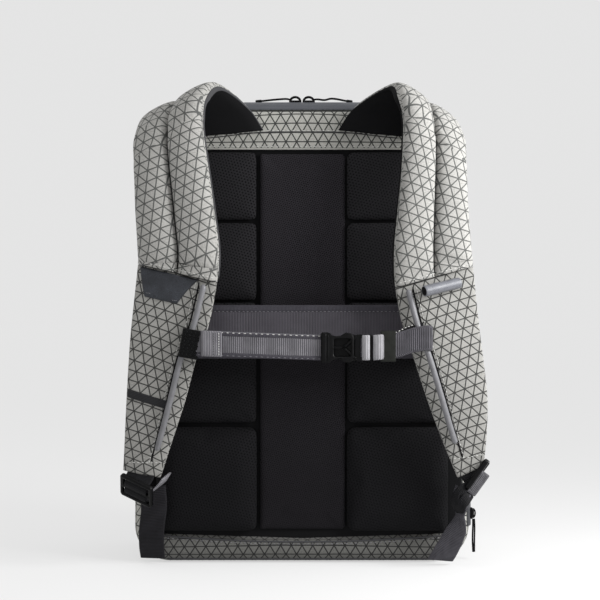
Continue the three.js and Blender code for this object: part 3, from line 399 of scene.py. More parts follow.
def sewing_thread(name, colour):
    s = Shader(name, colour, 0.55, sheen_weight=0.4, sheen_roughness=0.3)
    point, _ = s.place()
    twist = s.noise(point, 3.2, 2.0)
    s.colour(s.mix(twist, shade(colour, 0.7), shade(colour, 1.3)))
    s.bump(twist, 0.4, 0.0001)
    return s.material


LOWER_CLOTH = dict(ground=(0.275, 0.271, 0.257), line=(0.022, 0.022, 0.021))
MATT = dict(sheen=0.005, gloss=0.12)
FABRIC_BODY = lattice_fabric("fabric_body", 0, ground=(0.35, 0.347, 0.322), line=(0.02, 0.021, 0.02))
FABRIC_UPPER = {-1: lattice_fabric("fabric_upper_left", 17), 1: lattice_fabric("fabric_upper_right", 15)}
FABRIC_LOWER = {-1: lattice_fabric("fabric_lower_left", -10, **LOWER_CLOTH),
                1: lattice_fabric("fabric_lower_right", -10, **LOWER_CLOTH)}
# The foot strip's cloth is a much darker copy of the body cloth: painted shade at the bottom of the bag.
FABRIC_FOOT_PAINTED_SHADE = lattice_fabric("fabric_foot_painted_shade", 0, ground=(0.105, 0.104, 0.098), line=(0.008, 0.008, 0.008))
MESH_PAD = spacer_mesh("mesh_pad")
MESH_CHANNEL = spacer_mesh("mesh_channel", base=(0.006, 0.0055, 0.0065), knit=(0.0185, 0.017, 0.02),
                           pitch=2.3)
LINING = plain_weave("lining_black", (0.0045, 0.0045, 0.005))
LINING_GREY = plain_weave("lining_grey", (0.05, 0.05, 0.053), pitch=0.8, sheen=0.05)
BINDING = plain_weave("binding_pale", (0.33, 0.326, 0.305), pitch=0.8)
BAND = ribbed_webbing("webbing_band", (0.05, 0.046, 0.056), (0.078, 0.072, 0.086), 1.5)
HEM = ribbed_webbing("webbing_hem", (0.03, 0.028, 0.036), (0.06, 0.056, 0.07), 1.3)
CHEST = ribbed_webbing("webbing_chest", (0.05, 0.048, 0.056), (0.215, 0.209, 0.228), 1.9)
LOOP = ribbed_webbing("webbing_loop", (0.012, 0.0115, 0.014), (0.115, 0.11, 0.127), 1.9)
# One lower webbing in two copies: the left copy is made near black as painted shade, the right one keeps the
# webbing's own paler tone.
LOWER = {-1: ribbed_webbing("webbing_lower_left_painted_shade", (0.007, 0.0066, 0.008), (0.02, 0.019, 0.023), 1.7,
                            sheen=0.01, gloss=0.12),
         1: ribbed_webbing("webbing_lower_right", (0.02, 0.019, 0.024), (0.12, 0.116, 0.135), 1.7)}
BLACK_WEB = ribbed_webbing("webbing_black", (0.0035, 0.0035, 0.004), (0.011, 0.011, 0.013), 1.5, **MATT)
ELASTIC = ribbed_webbing("webbing_elastic", (0.006, 0.006, 0.007), (0.02, 0.02, 0.023), 1.4)
# A brighter copy of the pale webbing for the chest strap's folds: painted light on their lit side.
PALE_PAINTED_LIGHT = ribbed_webbing("webbing_pale_painted_light", (0.13, 0.127, 0.14), (0.5, 0.49, 0.515), 1.5)
BARREL = ribbed_webbing("webbing_grey", (0.014, 0.0135, 0.016), (0.16, 0.156, 0.17), 1.7)
PALE = ribbed_webbing("webbing_pale", (0.07, 0.068, 0.078), (0.3, 0.292, 0.315), 1.5)
PLASTIC = moulded_plastic("plastic_black")
KEEPER = moulded_plastic("plastic_keeper", (0.009, 0.0096, 0.0084), (0.45, 0.6))
LEATHER = grained_leather("leather_slate")
# The roll's leather is a paler, glossier copy of the patch's leather: the paler tone is a painted reflection
# of its gloss.
LEATHER_ROLL_PAINTED_SHEEN = grained_leather("leather_roll", (0.115, 0.119, 0.134), (0.17, 0.175, 0.195), coat=0.35)
RAIL = twisted_cord("cord_grey")
TAPE = coated_tape("zip_tape_blue")
TAPE_SIDE = coated_tape("zip_tape_dark", (0.01, 0.011, 0.014), (0.022, 0.024, 0.029))
THREAD = sewing_thread("thread_pale", (0.5, 0.5, 0.48))
THREAD_GREY = sewing_thread("thread_grey", (0.13, 0.127, 0.14))
THREAD_DARK = sewing_thread("thread_dark", (0.02, 0.02, 0.022))


# Meshes


def finished(name, mesh, material, sharp=None, node=None):
    """The object of a mesh, shaded, with its material, on the bag's one body. It replaces the CAD node."""
    for polygon in mesh.polygons:
        polygon.use_smooth = True
    if sharp is not None:
        mesh.set_sharp_from_angle(angle=math.radians(sharp))
    mesh.materials.append(material)
    made = bpy.data.objects.new(name, mesh)
    SCENE.collection.objects.link(made)
    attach(made, "root")
    if node:
        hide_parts(node)
    return made


def mesh_of(name, points, faces, corners=None):
    """A mesh in the frame of the row. corners gives each face corner's place on the cloth."""
    mesh = bpy.data.meshes.new(name)
    places = np.asarray(points, float) * MM + SHIFT
    mesh.from_pydata(places.tolist(), [], faces)
    if corners is not None:
        layer = mesh.uv_layers.new(name="cloth")
        layer.data.foreach_set("uv", np.asarray(corners, np.float32).ravel())
    work = bmesh.new()
    work.from_mesh(mesh)
    bmesh.ops.recalc_face_normals(work, faces=work.faces)
    work.to_mesh(mesh)
    work.free()
    mesh.update()
    return mesh


def skin(loops, zero=0, zero_row=0, flip_map=False, ring_map=False, plan=None, flat_from=None):
    """Points, faces and cloth map of a skin over closed loops, with a fan at each end.
    The map counts from column `zero` of each loop, and along the columns from row `zero_row`.
    `plan` gives smoother loops that the map is unrolled from, as flat cloth.
    From row `flat_from` on, the map is a plain front view of the points."""
    loops = np.asarray(loops, float)
    rows, count = loops.shape[:2]
    mapped = loops if plan is None else np.asarray(plan, float)
    closed = np.concatenate([mapped, mapped[:, :1]], axis=1)
    around = np.zeros((rows, count + 1))
    around[:, 1:] = np.cumsum(np.linalg.norm(np.diff(closed, axis=1), axis=2), axis=1)
    around -= around[:, zero:zero + 1]
    along = np.zeros((rows, count + 1))
    along[1:] = np.cumsum(np.linalg.norm(np.diff(closed, axis=0), axis=2), axis=0)
    if ring_map:
        along[:] = along.mean(axis=1, keepdims=True)
        around *= (around[rows // 2, -1] - around[rows // 2, 0]) / np.maximum(
            around[:, -1:] - around[:, :1], 1e-6)
    along -= along[zero_row:zero_row + 1]
    if plan is not None:
        # Steps across are split into a part along the column and a part square to it
        ways = np.gradient(closed, axis=0)
        ways /= np.maximum(np.linalg.norm(ways, axis=2, keepdims=True), 1e-9)
        steps = np.diff(closed, axis=1)
        shift = (steps * (ways[:, 1:] + ways[:, :-1]) / 2).sum(axis=2)
        square = np.sqrt(np.maximum((steps ** 2).sum(axis=2) - shift ** 2, 0))
        around[:, 1:] = np.cumsum(square, axis=1)
        around[:, 0] = 0
        around -= around[:, zero:zero + 1]
        drift = np.zeros_like(along)
        drift[:, 1:] = np.cumsum(shift, axis=1)
        along = along[:, zero:zero + 1] + drift - drift[:, zero:zero + 1]
    points = loops.reshape(-1, 3)
    faces = []
    corners = []

    def add_face(face, spots):
        faces.append(face)
        corners.extend(spots)

    for r in range(rows - 1):
        for i in range(count):
            a = r * count + i
            b = r * count + (i + 1) % count
            face = (a, b, b + count, a + count)
            if flat_from is not None and r >= flat_from:
                add_face(face, [(points[k][0], points[k][2]) for k in face])
            else:
                add_face(face, [(around[p, q], along[p, q]) for p, q in
                                ((r, i), (r, i + 1), (r + 1, i + 1), (r + 1, i))])
    hubs = [loops[0].mean(axis=0), loops[-1].mean(axis=0)]
    for i in range(count):
        n = (i + 1) % count
        add_face((len(points), n, i), [(0.0, along[0, 0]), (around[0, i + 1], along[0, i + 1]),
                                       (around[0, i], along[0, i])])
    for i in range(count):
        a = (rows - 1) * count + i
        b = (rows - 1) * count + (i + 1) % count
        spots = [(0.0, along[-1, 0]), (around[-1, i], along[-1, i]), (around[-1, i + 1], along[-1, i + 1])]
        if flat_from is not None:
            spots = [(p[0], p[2]) for p in (hubs[1], points[a], points[b])]
        add_face((len(points) + 1, a, b), spots)
    corners = np.array(corners)
    if flip_map:
        corners = corners[:, ::-1]
    return np.concatenate([points, np.array(hubs)]), faces, corners


def skinned(name, loops, material, slot, sharp=None, node=None, fill=None, **options):
    mesh = mesh_of(name, *skin(loops, **options))
    return finished(name, mesh, material, sharp, node)


def smooth_path(points, step):
    """Points at even steps along a smooth curve through `points`, ends kept."""
    points = np.asarray(points, float)
    fine = []
    for i in range(len(points) - 1):
        p1, p2 = points[i], points[i + 1]
        p0 = points[i - 1] if i else 2 * p1 - p2
        p3 = points[i + 2] if i + 2 < len(points) else 2 * p2 - p1
        for t in np.linspace(0, 1, 24, endpoint=False):
            m1, m2 = (p2 - p0) / 2, (p3 - p1) / 2
            fine.append((2 * t**3 - 3 * t**2 + 1) * p1 + (t**3 - 2 * t**2 + t) * m1
                        + (3 * t**2 - 2 * t**3) * p2 + (t**3 - t**2) * m2)
    fine.append(points[-1])
    fine = np.array(fine)
    length = lengths(fine)
    count = max(int(round(length[-1] / step)), 2)
    return sampled(np.linspace(0, length[-1], count + 1), length, fine)


def directions(path):
    ahead = np.gradient(path, axis=0)
    return ahead / np.maximum(np.linalg.norm(ahead, axis=1, keepdims=True), 1e-12)


def rod_loops(path, radius, sides, step, start, rounded=False):
    """Rings of a round cord along a path. `start` only turns the first ring."""
    line = smooth_path(path, step)
    ahead = directions(line)
    side = unit(np.cross(ahead[0], start))
    last = len(line) - 1
    loops = []
    for i, (place, way) in enumerate(zip(line, ahead)):
        side = unit(side - way * side.dot(way))
        end = min(i / last, 1 - i / last) * step * last
        size = radius * (rounding(end, radius, 0.02) if rounded else 1.0)
        loops.append(ring(place, side, np.cross(way, side), sides, size))
    return loops


def tube(name, path, radius, material, slot, sides=8, step=3.0, rounded=True, node=None):
    """A round cord along a path, with rounded ends."""
    loops = rod_loops(path, radius, sides, step, (0.3, 0.2, 1.0), rounded)
    return skinned(name, loops, material, slot, node=node)


def round_rod(path, radius):
    """A thin moulded rod, as points and faces."""
    return skin(rod_loops(path, radius, 8, 0.7, (0.31, 0.9, 0.2)))[:2]


def ribbon(path, across, width, thickness, pitch, relief=0.22, columns=9, wobble=0.0, seed=0.0):
    """Loops of a webbing whose ribs are modelled, with rounded selvedges."""
    line = smooth_path(path, pitch / 4)
    across = np.asarray(across, float)
    if across.ndim == 1:
        across = np.repeat(across[None], 2, axis=0)
    sides = sampled(np.linspace(0, 1, len(line)), np.linspace(0, 1, len(across)), across)
    loops = []
    shares = (1 - np.cos(np.linspace(0, math.pi, columns))) / 2
    for place, way, side, s in zip(line, directions(line), sides, lengths(line)):
        side = unit(side)
        normal = unit(np.cross(way, side))
        rib = relief * (0.5 + 0.5 * math.cos(2 * math.pi * s / pitch)) - relief / 2
        wave = wobble * ripple((s, 0, 0), 22, seed)
        front, back = [], []
        for u in shares:
            edge = min(u, 1 - u) * width
            lift = thickness / 2 * rounding(edge, 1.1, 0.08) + rib * min(edge / 1.2, 1)
            at = place + side * (u - 0.5) * width + normal * wave
            front.append(at + normal * lift)
            back.append(at - normal * lift)
        loops.append(front + back[::-1])
    return loops


def webbing(name, path, across, width, thickness, pitch, material, slot="webbing", node=None, **options):
    loops = ribbon(path, across, width, thickness, pitch, **options)
    return skinned(name, loops, material, slot, node=node, flip_map=True)


def stitches(name, path, normals, material=THREAD, length=2.5, gap=1.7, radius=0.36, lift=0.15):
    """A run of stitches over a path, each a small bowed thread of three rings and two points."""
    normals = np.asarray(normals, float)
    if normals.ndim == 1:
        normals = np.repeat(normals[None], len(path), axis=0)
    run = lengths(path)
    points, faces = [], []
    s = gap / 2
    while s + length < run[-1]:
        start, end = sampled(s, run, path), sampled(s + length, run, path)
        way = unit(end - start)
        side = unit(np.cross(way, unit(sampled(s, run, normals))))
        up = np.cross(side, way)
        first = len(points)
        points.append(start - up * radius * 0.4)
        for share, size in ((0.16, 0.72), (0.5, 1.0), (0.84, 0.72)):
            middle = start + (end - start) * share + up * lift * math.sin(math.pi * share)
            points += ring(middle, side, up, 6, radius * size)
        points.append(end - up * radius * 0.4)
        last = len(points) - 1
        for k in range(6):
            n = (k + 1) % 6
            faces.append((first, first + 1 + k, first + 1 + n))
            for a in (first + 1, first + 7):
                faces.append((a + k, a + 6 + k, a + 6 + n, a + n))
            faces.append((last, first + 13 + n, first + 13 + k))
        s += length + gap
    return finished(name, mesh_of(name, points, faces), material)


def rounded_outline(width, height, radius, steps=6, x=0.0, y=0.0):
    radius = min(radius, width / 2, height / 2)
    out = []
    for cx, cy, start in ((1, -1, -90), (1, 1, 0), (-1, 1, 90), (-1, -1, 180)):
        for i in range(steps + 1):
            turn = math.radians(start + 90 * i / steps)
            out.append((x + cx * (width / 2 - radius) + math.cos(turn) * radius,
                        y + cy * (height / 2 - radius) + math.sin(turn) * radius))
    return out


def plate_mesh(outlines, thickness, bevel, centre, axes):
    """A bevelled plate cut from outlines in the plane of the first two axes, as points and faces."""
    curve = bpy.data.curves.new("plate_curve", "CURVE")
    curve.dimensions = "2D"
    curve.fill_mode = "BOTH"
    curve.extrude = thickness / 2 - bevel
    curve.bevel_depth = bevel
    curve.bevel_resolution = 3
    curve.offset = -bevel
    for outline in outlines:
        spline = curve.splines.new("POLY")
        spline.points.add(len(outline) - 1)
        for point, (x, y) in zip(spline.points, outline):
            point.co = (x, y, 0, 1)
        spline.use_cyclic_u = True
    holder = bpy.data.objects.new("plate_holder", curve)
    SCENE.collection.objects.link(holder)
    bpy.context.view_layer.update()
    flat = bpy.data.meshes.new_from_object(holder.evaluated_get(bpy.context.evaluated_depsgraph_get()))
    work = bmesh.new()
    work.from_mesh(flat)
    bmesh.ops.remove_doubles(work, verts=work.verts, dist=0.01)
    bmesh.ops.recalc_face_normals(work, faces=work.faces)
    places = [centre + v.co.x * axes[0] + v.co.y * axes[1] + v.co.z * axes[2] for v in work.verts]
    faces = [[v.index for v in f.verts] for f in work.faces]
    work.free()
    bpy.data.objects.remove(holder)
    bpy.data.curves.remove(curve)
    bpy.data.meshes.remove(flat)
    return places, faces


def joined(parts):
    points, faces = [], []
    for places, some in parts:
        base = len(points)
        points += list(places)
        faces += [[base + i for i in f] for f in some]
    return points, faces


def moulded(name, parts, material=PLASTIC, node=None, sharp=35):
    points, faces = joined(parts)
    return finished(name, mesh_of(name, points, faces), material, sharp, node)


def bar_mesh(start, end, radius, sides=12, squash=1.0, up=FRONT):
    """A short round bar with domed ends, as points and faces."""
    way = unit(end - start)
    side = unit(np.cross(way, up))
    other = np.cross(side, way) * squash
    half = np.linalg.norm(end - start) / 2
    dome = ((0, 0.45), (0.12, 0.75), (0.35, 0.94), (0.7, 1.0))
    rings = [ring(start + way * min(run * radius, half), side, other, sides, radius * size) for run,
             size in dome]
    rings += [ring(end - way * min(run * radius, half), side, other, sides, radius * size)
              for run, size in dome[::-1]]
    return skin(rings)[:2]


# The main bag


CORNER_FINE = 12
SIDE_FINE = 22
FLAT_FINE = 10


def body_outline(inset, corner_steps=CORNER_FINE, side_steps=SIDE_FINE, flat_steps=FLAT_FINE):
    """Points round the bag's outline, drawn in by `inset`, from the middle of the foot."""
    bottom_half = HALF_WIDTH - inset
    top_half = BODY_TOP_WIDTH / 2 - inset
    bottom_radius = max(BOTTOM_CORNER - inset, 2)
    top_radius = max(TOP_CORNER - inset, 2)
    right = [((bottom_half - bottom_radius) * i / flat_steps, inset) for i in range(flat_steps)]
    for i in range(corner_steps + 1):
        turn = math.radians(-90 + 90 * i / corner_steps)
        right.append((bottom_half - bottom_radius + math.cos(turn) * bottom_radius,
                      inset + bottom_radius + math.sin(turn) * bottom_radius))
    low = inset + bottom_radius
    high = BODY_HEIGHT - inset - top_radius
    for i in range(1, side_steps):
        share = i / side_steps
        half = bottom_half + (top_half - bottom_half) * share
        right.append((half + SIDE_BULGE * math.sin(share * math.pi), low + (high - low) * share))
    for i in range(corner_steps + 1):
        turn = math.radians(90 * i / corner_steps)
        right.append((top_half - top_radius + math.cos(turn) * top_radius,
                      BODY_HEIGHT - inset - top_radius + math.sin(turn) * top_radius))
    for i in range(1, flat_steps):
        right.append(((top_half - top_radius) * (1 - i / flat_steps), BODY_HEIGHT - inset))
    left = [(-x, z) for x, z in right[1:]][::-1]
    return np.array([*right, (0, BODY_HEIGHT - inset), *left])


# Depth and inset shares of the bag's sections, from the back seam to the front seam
BAG_SECTIONS = [(0.0, 1.0), (0.01, 0.72), (0.025, 0.4), (0.045, 0.14), (0.065, 0.0), (0.3, 0.0), (0.74, 0.0),
                (0.82, 0.22), (0.87, 0.5), (0.905, 1.05), (0.93, 1.6), (0.95, 3.2)]

# The loop of the bag where its front starts
FRONT_ROW = 47


def section_inset(share):
    """How far the outline is drawn in at a share of the depth."""
    return float(np.interp(share, *zip(*BAG_SECTIONS))) * SEAM_ROUND


def bag_loops():
    loops = []
    for share in [*np.linspace(0, 0.065, 8), *np.linspace(0.09, 0.82, 26), *np.linspace(0.83, 0.95, 14)]:
        outline = body_outline(section_inset(share))
        loops.append([vec(x, share * BODY_DEPTH, z) for x, z in outline])
    rim = loops[-1]
    for inward in np.linspace(0.05, 0.96, 18):
        crown = 0.96 * math.sqrt(min(inward / 0.72, 1.0)) if inward < 0.72 else 0.96
        loops.append([vec(p[0] * (1 - inward), p[1] + FRONT_CROWN * crown,
                          p[2] + (BODY_HEIGHT / 2 - p[2]) * inward) for p in rim])
    return loops


def soften_bag(loops):
    """Slack waves in the gusset and the front, none at the flat bottom or by the back panel."""
    middle = vec(0, BODY_DEPTH * 0.45, BODY_HEIGHT / 2)
    out = []
    for loop in loops:
        ring = []
        for p in loop:
            free = smoothstep(p[2], 4, 60) * smoothstep(p[1], 14, 50)
            way = unit((p - middle) * vec(1, 1.6, 0.8))
            dent = 2.2 * ripple(p, 95, 3.1) + 0.9 * ripple(p, 38, 7.7) + 0.35 * ripple(p, 14, 1.3)
            ring.append(p + way * dent * free - way * 0.6 * free)
        out.append(ring)
    return out


def build_bag():
    loops = soften_bag(bag_loops())
    skinned("bag_body", loops, FABRIC_BODY, "fabric", zero=0, ring_map=True, flat_from=FRONT_ROW,
            node="body_shell", fill=0.45)
    for name, share in (("bag_stitch_front", 0.885), ("bag_stitch_rim", 0.915)):
        ring = body_outline(section_inset(share))
        path = [vec(x, share * BODY_DEPTH, z) for x, z in ring]
        path = soften_bag([path])[0]
        middle = vec(0, BODY_DEPTH * 0.5, BODY_HEIGHT / 2)
        keep = [p for p in path if p[2] > 3]
        normals = [unit((p - middle) * vec(1, 0.6, 1)) for p in keep]
        keep = [p + n * 0.25 for p, n in zip(keep, normals)]
        stitches(name, keep, normals, length=3.0, gap=2.0, radius=0.4)


def build_board():
    loops = []
    for y, inset in ((-0.3, 1.5), (-0.4, 0.6), (-1.2, 0.0), (-3.2, 0.0), (-4.1, 0.8), (-4.3, 2.2)):
        loops.append([vec(x, y, z) for x, z in body_outline(BOARD_INSET + inset, 8, 12, 6)])
    skinned("back_board", loops, LINING, "lining", node="back_panel", fill=0.7)


# Pads of one side from the top: shares of the height from PAD_HIGH down, and of PAD_THICKNESS
PAD_ROWS = [("upper", 0.0, 0.185, 0.64), ("middle", 0.185, 0.395, 0.7),
            ("lumbar", 0.395, 0.72, 0.7), ("lower", 0.72, 1.0, 1.0)]


def pad_loops(left, right, low, high, corner, seat, thickness):
    def ring(inset, y):
        radius = max(corner - inset, 1.5)
        return [vec((left + right) / 2 + px, y, (low + high) / 2 + pz) for px, pz in
                rounded_outline(right - left - 2 * inset, high - low - 2 * inset, radius, 5)]
    return [ring(0, seat), ring(0, seat - thickness * 0.3), ring(corner * 0.12, seat - thickness * 0.55),
            ring(corner * 0.35, seat - thickness * 0.78), ring(corner * 0.7, seat - thickness * 0.9),
            ring(corner * 1.1, seat - thickness * 0.92)]


def pad_plans():
    span = PAD_HIGH - PAD_LOW
    for side in (-1, 1):
        near = side * (CHANNEL_WIDTH / 2 + PAD_SEAM / 2)
        far = side * (CHANNEL_WIDTH / 2 + PAD_SEAM / 2 + PAD_WIDTH)
        for name, start, end, thickness in PAD_ROWS:
            node = f"pad_{name}_{'left' if side < 0 else 'right'}"
            # A wider gap is left between the lumbar pad and the lower one
            low_gap = 0.4 if name == "lumbar" else -0.7
            high_gap = 0.4 if name == "lower" else -0.7
            yield node, dict(left=min(near, far) - 0.7, right=max(near, far) + 0.7,
                             low=PAD_HIGH - end * span + PAD_SEAM / 2 + low_gap,
                             high=PAD_HIGH - start * span - PAD_SEAM / 2 - high_gap,
                             corner=4.5 if name != "lower" else 6.5, seat=PAD_SEAT - 0.1,
                             thickness=thickness * PAD_THICKNESS)
    yield "channel_pad", dict(left=-CHANNEL_WIDTH / 2 - 0.3, right=CHANNEL_WIDTH / 2 + 0.3,
                              low=PAD_LOW + PAD_SEAM / 2, high=PAD_HIGH - PAD_SEAM / 2, corner=3,
                              seat=PAD_SEAT - 0.1, thickness=CHANNEL_THICKNESS)


def remeshed(name, loops, voxel):
    """An even mesh over the loops, as a new object without a look."""
    points, faces, _ = skin(loops)
    rough = bpy.data.objects.new(name + "_rough", mesh_of(name + "_rough", points, faces))
    SCENE.collection.objects.link(rough)
    even = rough.modifiers.new("even", "REMESH")
    even.mode = "VOXEL"
    even.voxel_size = voxel * MM
    bpy.context.view_layer.update()
    mesh = bpy.data.meshes.new_from_object(rough.evaluated_get(bpy.context.evaluated_depsgraph_get()))
    bpy.data.objects.remove(rough)
    made = bpy.data.objects.new(name + "_work", mesh)
    SCENE.collection.objects.link(made)
    return made


SIM_FRAMES = 20
SIM_PRESSURE = 4.0


def inflate(works, caps):
    """Blows the pads up as cloth, all in one run, and gives their new points, capped."""
    rest = [np.array([v.co for v in work.data.vertices]) for work in works]
    seat = (PAD_SEAT - 1.2) * MM + SHIFT[1]
    for work in works:
        held = work.vertex_groups.new(name="held")
        held.add([v.index for v in work.data.vertices if v.co.y > seat], 1.0, "REPLACE")
        cloth = work.modifiers.new("cloth", "CLOTH")
        cloth.settings.vertex_group_mass = "held"
        cloth.settings.use_pressure = True
        cloth.settings.uniform_pressure_force = SIM_PRESSURE
        cloth.settings.effector_weights.gravity = 0
        cloth.settings.quality = 5
        cloth.collision_settings.use_collision = False
        cloth.collision_settings.use_self_collision = False
        cloth.point_cache.frame_start = 1
        cloth.point_cache.frame_end = SIM_FRAMES
    for step in range(1, SIM_FRAMES + 1):
        SCENE.frame_set(step)
    graph = bpy.context.evaluated_depsgraph_get()
    blown = []
    for work, before, cap in zip(works, rest, caps):
        now = np.array([v.co for v in work.evaluated_get(graph).data.vertices])
        move = now - before
        size = np.linalg.norm(move, axis=1, keepdims=True)
        blown.append(before + move * np.minimum(1.0, cap * MM / np.maximum(size, 1e-9)))
    SCENE.frame_set(1)
    return blown


def build_pads():
    plans = list(pad_plans())
    works = [remeshed(node, pad_loops(**plan), 3.4 if node != "channel_pad" else 3.0) for node,
             plan in plans]
    blown = inflate(works, [3.0 if node != "channel_pad" else 0.8 for node, _ in plans])
    for (node, plan), work, places in zip(plans, works, blown):
        mesh = bpy.data.meshes.new(node + "_cushion")
        places[:, 1] = np.minimum(places[:, 1], (PAD_SEAT - 0.02) * MM + SHIFT[1])
        low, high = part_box(node)
        places[:, 0] = np.clip(places[:, 0], low.x - 0.0008, high.x + 0.0008)
        places[:, 2] = np.clip(places[:, 2], low.z - 0.0008, high.z + 0.0008)
        places[:, 1] = np.maximum(places[:, 1], low.y - 0.0015)
        mesh.from_pydata(places.tolist(), [], [list(p.vertices) for p in work.data.polygons])
        bpy.data.objects.remove(work)
        material = MESH_CHANNEL if node == "channel_pad" else MESH_PAD
        made = finished(node + "_cushion", mesh, material)
        rounder = made.modifiers.new("rounder", "SUBSURF")
        rounder.levels = 1
        rounder.render_levels = 1
        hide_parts(node)


FOOT_SAG = 7.5


def build_strips():
    top_low = PAD_HIGH + PAD_SEAM / 2
    top_high = top_low + 38 - PAD_SEAM / 2
    inner = BOARD_INSET + 2
    top_half = BODY_TOP_WIDTH / 2 - inner
    bottom_half = HALF_WIDTH - inner
    cut = TOP_CORNER * 0.62
    rows = (("top_strip", top_low, top_high, top_half - cut * 0.3, top_half - cut),
            ("bottom_strip", inner, PAD_LOW - PAD_SEAM / 2, bottom_half - BOTTOM_CORNER * 0.55,
             bottom_half - BOTTOM_CORNER * 0.05))
    for node, low, high, low_half, high_half in rows:
        loops = []
        foot = node == "bottom_strip"
        if foot:
            low = 3.0
        for share in [0, 0.015, 0.05, *np.linspace(0.1, 0.9, 14), 0.95, 0.985, 1]:
            half = low_half + (high_half - low_half) * share
            edge = min(share, 1 - share) * (high - low)
            full = 0.55 + 0.45 * math.sqrt(min(edge / 9, 1))
            round_off = rounding(edge, 1.6, 0.03)
            front, back = [], []
            for c in np.linspace(-1, 1, 61):
                z = low + (high - (FOOT_SAG * (1 - c * c) if foot else 0) - low) * share
                depth = STRIP_THICKNESS * full * round_off * rounding(1 - abs(c), 0.02, 0.1)
                slack = 0.35 * ripple((c * half, 0, z), 30, 2.0) * min(edge / 8, 1)
                seat = PAD_SEAT + (4.2 * (1 - smoothstep(z, 2, 11)) if foot else 0)
                front.append(vec(c * half, seat - depth - slack, z))
                back.append(vec(c * half, seat, z))
            loops.append(front + back[::-1])
        skinned(node + "_cloth", loops, FABRIC_FOOT_PAINTED_SHADE if foot else FABRIC_BODY, "fabric", zero=30, node=node,
                fill=0.4)
        bind = low + 0.8 if node == "top_strip" else high - 0.8
        half = low_half if node == "top_strip" else high_half
        edge = [vec(x, PAD_SEAT - 2.3, bind - (FOOT_SAG * (1 - (x / half) ** 2) if foot else 0))
                for x in np.linspace(-half + 1, half - 1, 40)]
        # At the foot the binding and the stitches are greyer than at the top: painted shade, like the foot's
        # cloth.
        tube(f"{node}_binding", edge, 0.85, LINING_GREY if foot else BINDING, "fabric")
        line = [vec(x, PAD_SEAT - 3.2, z + (-1.9 if foot else 1.9)) for x, _, z in edge]
        stitches(f"{node}_edge_stitches", line, FRONT, length=2.6, gap=2.0, radius=0.34,
                 material=THREAD_GREY if foot else THREAD)
        if foot:
            base = [vec(x, PAD_SEAT + 1.2, 3.4) for x in np.linspace(-low_half + 2, low_half - 2, 40)]
            tube("bottom_strip_foot_binding", base, 0.9, LINING_GREY, "fabric")
        else:
            seam = [vec(x, PAD_SEAT - 3.62, 412.5 - 7 * smoothstep(abs(x), 25, 110)) for x in
                    np.linspace(-92, 92, 50)]
            stitches("top_strip_seam_stitches", seam, FRONT, length=2.6, gap=2.2, radius=0.34)
            under = [p + vec(0, 0.15, -1.1) for p in seam]
            tube("top_strip_seam", under, 0.5, THREAD_DARK, "fabric")


# The zips


TAPE_THICKNESS = 1.2
TAPE_FAR = 25
COIL_HEIGHT = 0.9


def tape_loops(run, y_near, y_far):
    """A tape over a run of the outline: its coil stands up along the middle."""
    columns = np.linspace(0, 1, 19)
    loops = []
    for k in range(run(0).shape[0]):
        front, back = [], []
        for c in columns:
            y = y_near + (y_far - y_near) * c
            inset = seam_inset(y)
            skin_at = run(inset - GAP)[k]
            rise = TAPE_THICKNESS * rounding(min(c, 1 - c) * (y_far - y_near), 0.8, 0.1)
            if abs(c - 0.5) < 0.11:
                rise += COIL_HEIGHT * math.cos((c - 0.5) / 0.11 * math.pi / 2)
            top = run(inset - GAP - rise)[k]
            front.append(vec(top[0], y, top[1]))
            back.append(vec(skin_at[0], y, skin_at[1]))
        loops.append(front + back[::-1])
    return loops


def seam_inset(y):
    depth = [d * BODY_DEPTH for d, _ in BAG_SECTIONS]
    return float(np.interp(y, depth, [i for _, i in BAG_SECTIONS])) * SEAM_ROUND


def outline_part(inset, first_share, last_share, over_top, count):
    """Points of the outline between two heights, up the right side or over the top."""
    whole = body_outline(inset)
    start = FLAT_FINE + CORNER_FINE + int(round(first_share * SIDE_FINE))
    if over_top:
        end = len(whole) - start
    else:
        end = FLAT_FINE + CORNER_FINE + int(round(last_share * SIDE_FINE))
    part = whole[start:end + 1]
    run = lengths(part)
    return sampled(np.linspace(0, run[-1], count), run, part)


def box_middle(node):
    """The middle of a CAD node's box, in millimetres of the source."""
    low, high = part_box(node)
    return (np.array(low + high) / 2 - SHIFT) / MM


